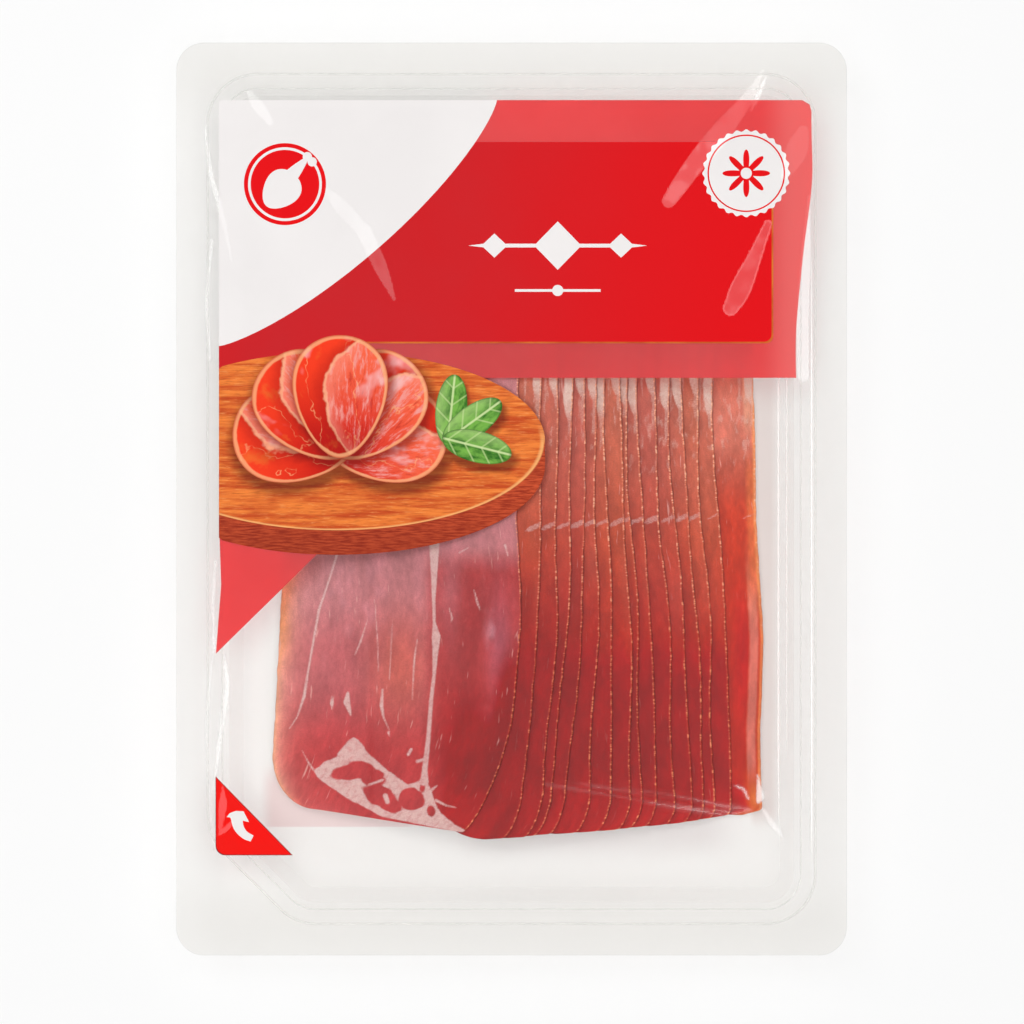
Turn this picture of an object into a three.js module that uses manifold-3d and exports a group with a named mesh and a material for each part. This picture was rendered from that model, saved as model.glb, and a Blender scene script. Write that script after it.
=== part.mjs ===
// A flat clear pack of sliced dry-cured ham: a shallow formed tray, sixteen thin slices laid in a fan,
// and a clear lid film with its printed fields of colour. Millimetres, +Z up, the tray lying on its floor.
// X runs across the pack, +Y towards the top of the print. The origin is under the middle of the pack.
import * as THREE from "three";
import { mergeVertices } from "three/addons/utils/BufferGeometryUtils.js";
import Module from "manifold-3d";

const wasm = await Module();
wasm.setup();

// ---------------------------------------------------------------- driving dimensions

// Tray
const PACK_WIDTH = 180;
const PACK_LENGTH = 245;
const PACK_CORNER = 7.5; // corner radius of the rim
const TRAY_HEIGHT = 12; // from the underside of the floor to the top of the seal band
const SHEET = 0.4; // thickness of the formed sheet
const RIM_WIDTH = 8.5; // loose rim outside the seal band
const RIM_DROP = 0.4; // how far the loose rim lies below the seal band
const SEAL_CORNER = 13.4; // corner radius of the seal band's outer edge
const SEAL_BAND = 5.5; // width of the seal band
const PEEL_CUT = 23.5; // legs of the cut corner, where the film isn't sealed and can be gripped
const WALL_RUN = 3.6; // how far the wall leans in on its way down to the floor
const ARC_STEPS = 6;

// Slices, numbered from the lowest, at the right, to the top one, at the left
const SLICE_WIDTH = 65;
const SLICE_LENGTH = 164;
const SLICE = 0.52; // thickness of a slice
const SLICE_PITCH = 0.62; // height from one slice to the next
const MEAT_CLEARANCE = 0.3; // under the lowest slice
// How much of each slice shows beside the one above it, across the fan's upper and lower parts
const SHOWS_HIGH = [10.2, 4.3, 4, 3.7, 3.8, 4.6, 3.1, 1.5, 4.3, 2.5, 2.6, 3.6, 4, 4.3, 6.6];
const SHOWS_LOW = [8.7, 4.6, 2.8, 3.6, 4.4, 4.8, 4.1, 2.4, 5.3, 5.1, 5.6, 4.1, 2.3, 5.4, 3.9];
const HIGH_AT = 30; // where along the pack those two rows lie
const LOW_AT = -65;
const FAN_RIGHT_HIGH = 64.7; // right edge of the lowest slice in the two rows
const FAN_RIGHT_LOW = 67.2;
const FAN_END = -84.2; // lower edge of the lowest slice
const FAN_DROP = 7; // how much further down the second slice from the top reaches
const EDGE_WAVE = 0.3; // waviness of a slice's long edges
const EDGE_BOW = 1.6; // how far the long edges bow to the right in the middle

// Lid film and its print
const FILM = 0.2;
const FILM_GAP = 0.25; // above the seal band
const FILM_SAG = 0.9; // how far the film dips over the whole tray
const TROUGH = 2.2; // how much further it dips between the slices and the wall
const TROUGH_AT = 9; // distance of that trough from the cavity's edge
const FILM_CORNER = 16; // corner radius of the film's dip
const PRINT_LIFT = 0.35; // underside of the print above the underside of the film
const PRINT = 0.12;
const PRINT_GAP = 0.3; // between neighbouring fields of the print
const PRINT_LEFT = -78.5;
const PRINT_RIGHT = 80.6;
const PRINT_TOP = 107;
const PRINT_BAND_END = 32.5; // lower edge of the red field
const PRINT_WAIST = 4.2; // how far the film's dip pulls in the red field's right edge
const WHITE_REACH = 74.6; // how far the white corner runs along the top edge
const WHITE_DROP = 66; // how far it runs down the left edge
const WHITE_FULLNESS = 1.3; // 1 is a straight boundary, 2 a quarter oval
const PANEL_RIGHT = 69.8; // the deeper red panel inside the red field
const PANEL_LEFT = PRINT_LEFT;
const PANEL_TOP = 95.8;
const PANEL_END = 42.2;
const PANEL_CORNER = 2;
const BADGE_X = 63;
const BADGE_Y = 87.4;
const BADGE_RADIUS = 12.1;
const SCALLOPS = 28;
const SCALLOP_DEPTH = 0.4;
const EMBLEM_X = -60.8;
const EMBLEM_Y = 84.5;
const EMBLEM_RADIUS = 11;
const ORNAMENT_X = 12.4;
const ORNAMENT_Y = 68;
const ORNAMENT_LENGTH = 48;
const ORNAMENT_HEIGHT = 13;
const BOARD_X = -47; // middle of the picture's oval board
const BOARD_Y = 15.5;
const BOARD_ACROSS = 56; // half its width and half its depth, as drawn
const BOARD_ALONG = 24;
const BOARD_SIDE = 6.5;
const ROSETTE_X = -46; // the picture's rosette of ham
const ROSETTE_Y = 15;
const PETALS = 5;
const PETAL_LENGTH = 33;
const PETAL_WIDTH = 25;
const SPRIG_X = -17; // where the leaves of the picture meet
const SPRIG_Y = 16;
const LEAF_LENGTH = 19;
const LEAF_WIDTH = 8.5;
const LEAF_TURNS = [84, 36, -14];
const LOW_RED_TOP = -9; // the red field below the picture, and its tip
const LOW_RED_END = -41.5;
const LOW_RED_RIGHT = -44;
const PEEL_X = -79.4; // left edge of the peel sign
const PEEL_Y = -95.6; // its lower edge
const PEEL_LEG = 20.8;
const PEEL_CORNER = 2.4;

// ---------------------------------------------------------------- small tools

const COLOURS = {
  clear: [0xe9ebea, 0.15],
  film: [0xf2f4f4, 0.1],
  ham: [0xb4453f, 0.45],
  white: [0xf4f2f0, 0.5],
  red: [0xe8474c, 0.4],
  deepRed: [0xd31822, 0.35],
  board: [0xcf6f2e, 0.5],
  picturedHam: [0xe4482f, 0.4],
  leaf: [0x4f9a2c, 0.45],
};

const material = (name) => {
  const [color, roughness] = COLOURS[name];
  return new THREE.MeshStandardMaterial({ color, roughness, metalness: 0 });
};

// A closed geometry as a manifold-3d solid.
function solidOf(geometry) {
  geometry.deleteAttribute("normal");
  geometry.deleteAttribute("uv");
  const merged = mergeVertices(geometry, 1e-4);
  return new wasm.Manifold(
    new wasm.Mesh({
      numProp: 3,
      vertProperties: new Float32Array(merged.attributes.position.array),
      triVerts: new Uint32Array(merged.index.array),
    }),
  );
}

function geometryOf(solid) {
  const mesh = solid.getMesh();
  const geometry = new THREE.BufferGeometry();
  geometry.setAttribute("position", new THREE.BufferAttribute(mesh.vertProperties, 3));
  geometry.setIndex(new THREE.BufferAttribute(mesh.triVerts, 1));
  const flat = geometry.toNonIndexed();
  flat.computeVertexNormals();
  return flat;
}

const clamp01 = (value) => Math.min(1, Math.max(0, value));
const smooth = (value) => clamp01(value) ** 2 * (3 - 2 * clamp01(value));
const shapeOf = (points) => new THREE.Shape(points.map(([x, y]) => new THREE.Vector2(x, y)));

// The column over a plan shape, taller than the pack, for cutting layers to that shape.
function column(shape) {
  const geometry = new THREE.ExtrudeGeometry(shape, {
    depth: 4 * TRAY_HEIGHT,
    bevelEnabled: false,
    curveSegments: 5,
  });
  geometry.translate(0, 0, -TRAY_HEIGHT);
  return solidOf(geometry);
}

// The closed layer between two heights above a surface, over a grid of lines.
function layer(surface, low, high, xs, ys) {
  const positions = [];
  const faces = [];
  const rows = ys.length;
  const at = (side, column, row) => side * xs.length * rows + column * rows + row;
  for (const lift of [low, high]) {
    for (const x of xs) {
      for (const y of ys) positions.push(x, y, surface(x, y) + lift);
    }
  }
  const quad = (a, b, c, d) => faces.push(a, b, c, a, c, d);
  for (let i = 0; i + 1 < xs.length; i++) {
    for (let j = 0; j + 1 < rows; j++) {
      quad(at(1, i, j), at(1, i + 1, j), at(1, i + 1, j + 1), at(1, i, j + 1));
      faces.push(at(0, i, j), at(0, i + 1, j + 1), at(0, i + 1, j));
      faces.push(at(0, i, j), at(0, i, j + 1), at(0, i + 1, j + 1));
    }
  }
  const lastColumn = xs.length - 1;
  const lastRow = rows - 1;
  for (let i = 0; i < lastColumn; i++) {
    quad(at(0, i, 0), at(0, i + 1, 0), at(1, i + 1, 0), at(1, i, 0));
    quad(at(0, i + 1, lastRow), at(0, i, lastRow), at(1, i, lastRow), at(1, i + 1, lastRow));
  }
  for (let j = 0; j < lastRow; j++) {
    quad(at(0, lastColumn, j), at(0, lastColumn, j + 1), at(1, lastColumn, j + 1), at(1, lastColumn, j));
    quad(at(0, 0, j + 1), at(0, 0, j), at(1, 0, j), at(1, 0, j + 1));
  }
  const geometry = new THREE.BufferGeometry();
  geometry.setAttribute("position", new THREE.Float32BufferAttribute(positions, 3));
  geometry.setIndex(faces);
  return solidOf(geometry);
}

// ---------------------------------------------------------------- outlines of the tray

// Five arcs of a rounded rectangle. Its lower left corner is cut at 45 degrees, or is two half arcs if cut is 0.
function outline(halfWidth, halfLength, radius, cut) {
  const inX = halfWidth - radius;
  const inY = halfLength - radius;
  const shift = cut ? cut - radius + radius * Math.tan(Math.PI / 8) : 0;
  const arc = (x, y, from, to) => ({ x, y, radius, from, to });
  return [
    arc(inX, inY, 0, 90),
    arc(-inX, inY, 90, 180),
    arc(-inX, -inY + shift, 180, 225),
    arc(-inX + shift, -inY, 225, 270),
    arc(inX, -inY, 270, 360),
  ];
}

function contour(arcs, inset) {
  return arcs.flatMap((arc) =>
    Array.from({ length: ARC_STEPS + 1 }, (_, step) => {
      const angle = THREE.MathUtils.degToRad(arc.from + ((arc.to - arc.from) * step) / ARC_STEPS);
      const radius = arc.radius - inset;
      return [arc.x + radius * Math.cos(angle), arc.y + radius * Math.sin(angle)];
    }),
  );
}

const SEAL_HALF_WIDTH = PACK_WIDTH / 2 - RIM_WIDTH;
const SEAL_HALF_LENGTH = PACK_LENGTH / 2 - RIM_WIDTH;
const PACK_ARCS = outline(PACK_WIDTH / 2, PACK_LENGTH / 2, PACK_CORNER, 0);
const SEAL_ARCS = outline(SEAL_HALF_WIDTH, SEAL_HALF_LENGTH, SEAL_CORNER, PEEL_CUT);

// Distance of a point inside the cavity's edge, or minus that outside it. The corners count as wider than
// they are, so that the film keeps clear of them.
function insideCavity(x, y) {
  const dx = Math.abs(x) - (SEAL_HALF_WIDTH - SEAL_BAND - FILM_CORNER);
  const dy = Math.abs(y) - (SEAL_HALF_LENGTH - SEAL_BAND - FILM_CORNER);
  const past = Math.hypot(Math.max(dx, 0), Math.max(dy, 0)) + Math.min(Math.max(dx, dy), 0);
  const cut = (x + y + SEAL_HALF_WIDTH + SEAL_HALF_LENGTH - PEEL_CUT) / Math.SQRT2 - SEAL_BAND;
  return Math.min(FILM_CORNER - past, cut - 2);
}

// ---------------------------------------------------------------- tray

// The tray's upper face from the rim to the floor: inset from the seal band's outer edge, and height.
function trayProfile() {
  const edge = SEAL_BAND;
  const foot = edge + WALL_RUN;
  return [
    [-0.5, TRAY_HEIGHT - RIM_DROP],
    [0, TRAY_HEIGHT],
    [edge, TRAY_HEIGHT],
    [edge + 0.5, TRAY_HEIGHT - 0.3],
    [edge + 0.9, TRAY_HEIGHT - 1.2],
    [foot - 0.6, SHEET + 2.4],
    [foot, SHEET + 1],
    [foot + 1, SHEET + 0.25],
    [foot + 2.4, SHEET],
  ];
}

// The same profile moved down and out by the sheet's thickness.
function underside(profile) {
  return profile.map(([inset, height], index) => {
    const [x0, z0] = profile[Math.max(index - 1, 0)];
    const [x1, z1] = profile[Math.min(index + 1, profile.length - 1)];
    const length = Math.hypot(x1 - x0, z1 - z0);
    return [inset + (SHEET * (z1 - z0)) / length, height - (SHEET * (x1 - x0)) / length];
  });
}

function trayGeometry() {
  const upper = trayProfile();
  const lower = underside(upper);
  lower[lower.length - 1][1] = 0;
  lower[0][1] = TRAY_HEIGHT - RIM_DROP - SHEET;
  const rings = [
    [contour(PACK_ARCS, 0), TRAY_HEIGHT - RIM_DROP],
    ...upper.map(([inset, height]) => [contour(SEAL_ARCS, inset), height]),
  ];
  const under = [
    [contour(PACK_ARCS, 0), TRAY_HEIGHT - RIM_DROP - SHEET],
    ...lower.map(([inset, height]) => [contour(SEAL_ARCS, inset), height]),
  ];
  const all = [...rings, ...under.reverse()];
  const count = all[0][0].length;
  const positions = all.flatMap(([points, z]) => points.flatMap(([x, y]) => [x, y, z]));
  const faces = [];
  all.forEach((_, ring) => {
    const next = (ring + 1) % all.length;
    const isFloor = ring === rings.length - 1;
    for (let i = 0; i < count && !isFloor; i++) {
      const j = (i + 1) % count;
      faces.push(ring * count + i, ring * count + j, next * count + j);
      faces.push(ring * count + i, next * count + j, next * count + i);
    }
  });
  // The floor's two faces are the same flat polygon, seen from above and from below.
  const floor = all[rings.length - 1][0].map(([x, y]) => new THREE.Vector2(x, y));
  for (const [a, b, c] of THREE.ShapeUtils.triangulateShape(floor, [])) {
    const top = (rings.length - 1) * count;
    const bottom = rings.length * count;
    faces.push(top + a, top + b, top + c);
    faces.push(bottom + a, bottom + c, bottom + b);
  }
  const geometry = new THREE.BufferGeometry();
  geometry.setAttribute("position", new THREE.Float32BufferAttribute(positions, 3));
  geometry.setIndex(faces);
  return geometry;
}

// ---------------------------------------------------------------- slices

const SLICE_COUNT = SHOWS_HIGH.length + 1;
const TOP = SLICE_COUNT - 1;

// The right edges of all slices along one row, from the lowest slice to the top one.
const edgesFrom = (right, shows) => shows.reduce((edges, step) => [...edges, edges.at(-1) - step], [right]);
const HIGH = edgesFrom(FAN_RIGHT_HIGH, SHOWS_HIGH);
const LOW = edgesFrom(FAN_RIGHT_LOW, SHOWS_LOW);
const LEFTS = HIGH.map((high, i) => Math.min(high, LOW[i]) - SLICE_WIDTH - 3);

// How many slices end to the right of x at their left edges: the fan steps down by that many there.
function leftSteps(x) {
  let below = 0;
  while (below < TOP && x < LEFTS[below + 1]) below += 1;
  if (below === TOP) return TOP;
  return below + clamp01((LEFTS[below] - x) / (LEFTS[below] - LEFTS[below + 1]));
}

// The lower face of the lowest slice, carried on under the whole fan. Every slice lies parallel to it.
const fanBase = (x, y) =>
  SHEET + MEAT_CLEARANCE + 0.12 * (1 + Math.sin(x / 17 + y / 23)) - SLICE_PITCH * leftSteps(x);

// A quarter turn from one angle to another, squarer than a circle if power is above 2, flatter if below.
function corner(x, y, across, along, from, power, steps) {
  return Array.from({ length: steps + 1 }, (_, k) => {
    const angle = THREE.MathUtils.degToRad(from + (90 * k) / steps);
    const curve = (value) => Math.sign(value) * Math.abs(value) ** (2 / power);
    return [x + across * curve(Math.cos(angle)), y + along * curve(Math.sin(angle))];
  });
}

function sliceOutline(i) {
  const isTop = i === TOP;
  const share = i / (TOP - 1);
  const end = isTop ? -89.6 : FAN_END - FAN_DROP * share ** 0.65;
  const top = FAN_END - FAN_DROP * share + SLICE_LENGTH;
  const row = (y) => Math.min(1.15, Math.max(-0.6, (HIGH_AT - y) / (HIGH_AT - LOW_AT)));
  const bow = (y) => EDGE_BOW * Math.exp(-(((y + 25) / 30) ** 2));
  const wave = (y) => EDGE_WAVE * Math.sin(y / 9 + 2.4 * i);
  const rightX = (y) => HIGH[i] + (LOW[i] - HIGH[i]) * row(y) + bow(y) + wave(y);
  const leftX = (y) => rightX(-40) - SLICE_WIDTH + 0.055 * (y + 40);
  const across = isTop ? 14 : 1.5 + 4 * share;
  const along = isTop ? 33 : 1.5 + 12 * share;
  const heel = isTop ? [12, 14] : [40, 18]; // across and along, at the lower left corner
  const rise = isTop ? 5.8 : 2 + 3 * share; // how much higher the bottom edge lies at the heel
  const heelY = end + rise + heel[1];
  const sweepY = end + along;
  const rows = 9;
  const right = Array.from({ length: rows - 1 }, (_, k) => {
    const y = sweepY + ((top - 4 - sweepY) * (k + 1)) / rows;
    return [rightX(y), y];
  });
  return shapeOf([
    ...corner(leftX(heelY) + heel[0], heelY, heel[0], heel[1], 180, 2, 5),
    ...corner(rightX(sweepY) - across, sweepY, across, along, 270, isTop ? 1.35 : 1.7, isTop ? 6 : 3),
    ...right,
    ...corner(rightX(top) - 4, top - 4, 4, 4, 0, 2, 2),
    ...corner(leftX(top) + 4, top - 4, 4, 4, 90, 2, 2),
  ]);
}

function sliceSolid(i) {
  const xs = [-74, -58, -44, -30, -16, LEFTS[0], 16, 33, 50, 74];
  const ys = Array.from({ length: 8 }, (_, k) => -98 + (k * 184) / 7);
  const low = i * SLICE_PITCH;
  const sheet = layer(fanBase, low, low + SLICE, xs, ys);
  return sheet.intersect(column(sliceOutline(i)));
}

// ---------------------------------------------------------------- film and print

function filmHeight(x, y) {
  const inside = insideCavity(x, y) - 3;
  if (inside <= 0) return TRAY_HEIGHT + FILM_GAP;
  const reach = inside / (TROUGH_AT - 3);
  const trough = TROUGH * reach ** 2 * Math.exp(2 - 2 * reach);
  const ridge = 0.5 * Math.exp(-(((x - LOW[TOP]) / 26) ** 2)) * smooth(inside / 20);
  return TRAY_HEIGHT + FILM_GAP - FILM_SAG * smooth(inside / 18) - trough + ridge;
}

// Grid lines across half a span: close together over the trough, wide over the middle.
function filmLines(half, cavityHalf) {
  const near = [0, 4.5, 9, 14, 22].map((inset) => cavityHalf - inset);
  const last = near[near.length - 1];
  const steps = Math.round(last / 17);
  const middle = Array.from({ length: steps }, (_, k) => (last * k) / steps);
  const positive = [half, ...near, ...middle.filter((v) => v > 0).reverse()];
  return [...positive.map((v) => -v), 0, ...positive.reverse()];
}

const FILM_XS = filmLines(PACK_WIDTH / 2, SEAL_HALF_WIDTH - SEAL_BAND);
const FILM_YS = filmLines(PACK_LENGTH / 2, SEAL_HALF_LENGTH - SEAL_BAND);

const filmLayer = (low, high) => layer(filmHeight, low, high, FILM_XS, FILM_YS);

function filmSolid() {
  return filmLayer(0, FILM).intersect(column(shapeOf(contour(PACK_ARCS, 0))));
}

const printLayer = filmLayer(PRINT_LIFT, PRINT_LIFT + PRINT);

// The point at a distance and an angle in degrees from a centre.
function polar(x, y, distance, degrees) {
  const angle = THREE.MathUtils.degToRad(degrees);
  return [x + distance * Math.cos(angle), y + distance * Math.sin(angle)];
}

// A closed curve round a centre, whose distance from it may depend on the angle in degrees.
const ring = (x, y, distanceAt, count) =>
  shapeOf(
    Array.from({ length: count }, (_, k) => {
      const degrees = (360 * k) / count;
      return polar(x, y, distanceAt(degrees), degrees);
    }),
  );

// An oval from a point outwards, widest beyond its middle by the given fullness.
function petalShape(x, y, degrees, length, width, fullness, count) {
  const [ahead, aside] = [polar(0, 0, 1, degrees), polar(0, 0, 1, degrees + 90)];
  return shapeOf(
    Array.from({ length: count }, (_, k) => {
      const [c, s] = polar(0, 0, 1, (360 * k) / count);
      const along = (length / 2) * (c + 1);
      const across = (width / 2) * s * (1 + fullness * c);
      return [x + along * ahead[0] + across * aside[0], y + along * ahead[1] + across * aside[1]];
    }),
  );
}

// The white corner of the print, grown by a margin.
function whiteShape(grow) {
  const bend = corner(
    PRINT_LEFT,
    PRINT_TOP,
    WHITE_REACH + grow,
    WHITE_DROP + grow,
    270,
    WHITE_FULLNESS,
    10,
  );
  return shapeOf([[PRINT_LEFT, PRINT_TOP], ...bend]);
}

// The red field's outline, with a cut top right corner and a right edge that the film's dip pulls in.
function redShape() {
  const waist = PRINT_RIGHT - PRINT_WAIST;
  return shapeOf([
    [PRINT_LEFT, PRINT_BAND_END],
    [waist - 0.5, PRINT_BAND_END],
    [waist, 52],
    [PRINT_RIGHT - 2, 70],
    [PRINT_RIGHT, 88],
    [PRINT_RIGHT, PRINT_TOP - 3],
    [PRINT_RIGHT - 2.6, PRINT_TOP],
    [PRINT_LEFT, PRINT_TOP],
  ]);
}

// The deeper panel. Left of the picture's middle it runs down to the end of the red field.
function panelShape(grow) {
  const right = PANEL_RIGHT + grow;
  const bottom = PANEL_END - grow;
  const bend = corner(right - PANEL_CORNER, bottom + PANEL_CORNER, PANEL_CORNER, PANEL_CORNER, 270, 2, 4);
  return shapeOf([
    [PANEL_LEFT - grow, PRINT_BAND_END - grow],
    [ROSETTE_X, PRINT_BAND_END - grow],
    [ROSETTE_X, bottom],
    ...bend,
    [right, PANEL_TOP + grow],
    [PANEL_LEFT - grow, PANEL_TOP + grow],
  ]);
}

const badgeShape = (grow) =>
  ring(
    BADGE_X,
    BADGE_Y,
    (degrees) =>
      BADGE_RADIUS + grow + SCALLOP_DEPTH * Math.cos(THREE.MathUtils.degToRad(SCALLOPS * degrees)),
    SCALLOPS * 2,
  );

const emblemShape = (grow) => ring(EMBLEM_X, EMBLEM_Y, () => EMBLEM_RADIUS + grow, 30);

// The outline of a whole ham with its shank, cut out of the emblem.
function hamFigure() {
  const ham = petalShape(EMBLEM_X + 3.2, EMBLEM_Y + 3.4, 228, 12.5, 9.4, 0.3, 20);
  const shank = petalShape(EMBLEM_X + 0.6, EMBLEM_Y + 0.8, 48, 8.4, 2.6, 0.3, 12);
  return column(ham).add(column(shank));
}

// A row of lozenges, largest in the middle, on a thin bar.
function ornamentShape(grow) {
  const half = ORNAMENT_LENGTH / 2;
  const bar = 0.5 + grow;
  const upper = [[-half - grow, 0]];
  for (const [at, share] of [[-17, 0.5], [0, 1], [17, 0.5]]) {
    const high = (ORNAMENT_HEIGHT / 2) * share + grow;
    const wide = high * 0.9;
    upper.push([at - wide, bar], [at, high], [at + wide, bar]);
  }
  upper.push([half + grow, 0]);
  const lower = upper.slice(1, -1).map(([x, y]) => [x, -y]).reverse();
  return shapeOf([...upper, ...lower].map(([x, y]) => [ORNAMENT_X + x, ORNAMENT_Y + y]).reverse());
}

// The picture ends at the print's left edge.
const pictureWindow = column(
  shapeOf([[PRINT_LEFT - 0.5, -60], [60, -60], [60, 100], [PRINT_LEFT - 0.5, 100]]),
);

function board(grow) {
  const oval = (drop) =>
    column(
      shapeOf(
        Array.from({ length: 32 }, (_, k) => {
          const [c, s] = polar(0, 0, 1, (360 * k) / 32);
          return [BOARD_X + (BOARD_ACROSS + grow) * c, BOARD_Y - drop + (BOARD_ALONG + grow) * s];
        }),
      ),
    );
  return oval(0).add(oval(BOARD_SIDE)).intersect(pictureWindow);
}

// Folded slices fanned out of one point.
function rosette(grow) {
  const petals = Array.from({ length: PETALS }, (_, k) => {
    const degrees = 8 + (164 * k) / (PETALS - 1);
    const [x, y] = polar(ROSETTE_X, ROSETTE_Y, -4 - grow, degrees);
    const length = PETAL_LENGTH + 2 * grow;
    return column(petalShape(x, y, degrees, length, PETAL_WIDTH + 2 * grow, 0.25, 20));
  });
  return petals.reduce((all, petal) => all.add(petal)).intersect(pictureWindow);
}

// Leaves that meet at their stems.
function sprig(grow) {
  const leaves = LEAF_TURNS.map((degrees) => {
    const [x, y] = polar(SPRIG_X, SPRIG_Y, -1.5 - grow, degrees);
    const length = LEAF_LENGTH + 2 * grow;
    return column(petalShape(x, y, degrees, length, LEAF_WIDTH + 2 * grow, 0, 14));
  });
  return leaves.reduce((all, leaf) => all.add(leaf));
}

const lowRedShape = () =>
  shapeOf([
    [PRINT_LEFT, LOW_RED_TOP + 4],
    [PRINT_LEFT + 0.6, LOW_RED_TOP - 14],
    [PRINT_LEFT - 0.8, LOW_RED_END],
    [PRINT_LEFT + 14, LOW_RED_END + 19],
    [LOW_RED_RIGHT, LOW_RED_TOP + 4],
  ]);

// A triangle in the lower left corner.
const peelShape = () =>
  shapeOf([
    ...corner(PEEL_X + PEEL_CORNER, PEEL_Y + PEEL_CORNER, PEEL_CORNER, PEEL_CORNER, 180, 2, 4),
    [PEEL_X + PEEL_LEG, PEEL_Y],
    [PEEL_X, PEEL_Y + PEEL_LEG],
  ]);

// A bent band with a three-cornered head, cut out of the triangle.
function arrowShape() {
  const at = (radius, degrees) => polar(PEEL_X + 11.6, PEEL_Y + 9.2, radius, degrees);
  const bend = 5.6;
  const sweep = [262, 240, 218, 196];
  const outer = sweep.map((degrees) => at(bend + 0.9, degrees));
  const inner = sweep.map((degrees) => at(bend - 0.9, degrees)).reverse();
  const head = [at(bend + 2.6, 194), at(bend + 0.4, 158), at(bend - 2.6, 190)];
  return shapeOf([...outer, ...head, ...inner].reverse());
}

// ---------------------------------------------------------------- the pack

const pack = new THREE.Group();

function place(name, geometry, colour) {
  const mesh = new THREE.Mesh(geometry, material(colour));
  mesh.name = name;
  pack.add(mesh);
}

place("tray", trayGeometry(), "clear");
for (let i = 0; i < SLICE_COUNT; i++) {
  place(`slice_${String(i + 1).padStart(2, "0")}`, geometryOf(sliceSolid(i)), "ham");
}
place("lid_film", geometryOf(filmSolid()), "film");

// Every field of the print is cut out of the one layer, clear of the fields that lie over it.
const field = (shape, over = []) =>
  over.reduce((rest, solid) => rest.subtract(solid), printLayer.intersect(column(shape)));
const picture = board(PRINT_GAP).add(rosette(PRINT_GAP)).add(sprig(PRINT_GAP));
const white = column(whiteShape(PRINT_GAP));
const badge = column(badgeShape(PRINT_GAP));
const pictured = (solid, over = []) => over.reduce((rest, cut) => rest.subtract(cut), solid);
const printNodes = {
  print_white_corner: [field(whiteShape(0), [column(emblemShape(PRINT_GAP)), picture]), "white"],
  print_red_field: [
    field(redShape(), [white, column(panelShape(PRINT_GAP)), badge, picture]),
    "red",
  ],
  print_red_panel: [
    field(panelShape(0), [white, badge, column(ornamentShape(PRINT_GAP)), picture]),
    "deepRed",
  ],
  print_badge: [field(badgeShape(0)), "white"],
  print_emblem: [field(emblemShape(0), [hamFigure()]), "deepRed"],
  print_ornament: [field(ornamentShape(0)), "white"],
  picture_board: [
    pictured(printLayer.intersect(board(0)), [rosette(PRINT_GAP), sprig(PRINT_GAP)]),
    "board",
  ],
  picture_ham: [pictured(printLayer.intersect(rosette(0)), [sprig(PRINT_GAP)]), "picturedHam"],
  picture_leaves: [printLayer.intersect(sprig(0)), "leaf"],
  print_low_red: [field(lowRedShape(), [picture]), "red"],
  print_peel_sign: [field(peelShape(), [column(arrowShape())]), "deepRed"],
};
for (const [name, [solid, colour]] of Object.entries(printNodes)) {
  place(name, geometryOf(solid), colour);
}

export default pack;
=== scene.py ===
# A clear pack of sliced dry-cured ham, seen from straight above: formed tray, sixteen slices in a fan, and a
# clear printed lid film. Lengths are in millimetres until a mesh is made.
import math

import bpy
import numpy as np
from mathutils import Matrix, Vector
from mathutils.geometry import delaunay_2d_cdt


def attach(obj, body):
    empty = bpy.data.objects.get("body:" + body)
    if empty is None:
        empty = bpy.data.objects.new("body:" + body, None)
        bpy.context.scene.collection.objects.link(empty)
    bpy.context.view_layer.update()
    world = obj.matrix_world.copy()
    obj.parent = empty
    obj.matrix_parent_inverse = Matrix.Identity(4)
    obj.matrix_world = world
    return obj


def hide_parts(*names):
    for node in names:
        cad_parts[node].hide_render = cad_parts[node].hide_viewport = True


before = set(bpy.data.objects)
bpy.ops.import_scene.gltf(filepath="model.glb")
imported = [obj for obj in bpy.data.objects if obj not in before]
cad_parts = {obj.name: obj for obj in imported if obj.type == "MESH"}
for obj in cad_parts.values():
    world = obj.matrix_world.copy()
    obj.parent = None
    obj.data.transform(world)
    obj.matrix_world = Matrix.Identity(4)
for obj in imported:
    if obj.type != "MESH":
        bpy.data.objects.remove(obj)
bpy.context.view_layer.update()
MM = 0.001
rng = np.random.default_rng(7)

# ---------------------------------------------------------------- dimensions, as in the solids

PACK_W, PACK_L, PACK_R = 180.0, 245.0, 7.5
TRAY_H, SHEET, RIM, RIM_DROP = 12.0, 0.4, 8.5, 0.4
SEAL_R, SEAL_BAND, PEEL_CUT, WALL_RUN = 13.4, 5.5, 23.5, 3.6
SEAL_X, SEAL_Y = PACK_W / 2 - RIM, PACK_L / 2 - RIM

SLICE_W, SLICE_L, SLICE, PITCH, CLEAR = 65.0, 164.0, 0.52, 0.62, 0.3
SHOWS_HIGH = [10.2, 4.3, 4, 3.7, 3.8, 4.6, 3.1, 1.5, 4.3, 2.5, 2.6, 3.6, 4, 4.3, 6.6]
SHOWS_LOW = [8.7, 4.6, 2.8, 3.6, 4.4, 4.8, 4.1, 2.4, 5.3, 5.1, 5.6, 4.1, 2.3, 5.4, 3.9]
HIGH = 64.7 - np.concatenate([[0], np.cumsum(SHOWS_HIGH)])
LOW = 67.2 - np.concatenate([[0], np.cumsum(SHOWS_LOW)])
TOP = len(SHOWS_HIGH)
FAN_END, TOP_END, FAN_DROP, TOE = -84.2, -89.6, 7.0, 4.6
LEFTS = np.minimum(HIGH, LOW) - SLICE_W - 3

FILM, FILM_GAP, SAG, TROUGH, TROUGH_AT, FILM_R = 0.2, 0.25, 0.9, 2.2, 9.0, 16.0
SAG_START, RIDGE, RIDGE_WIDE, WAVE, CREASE_HIGH = 3.0, 0.5, 26.0, 0.08, 0.06
PRINT_LIFT, INK = 0.35, 0.1


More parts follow.
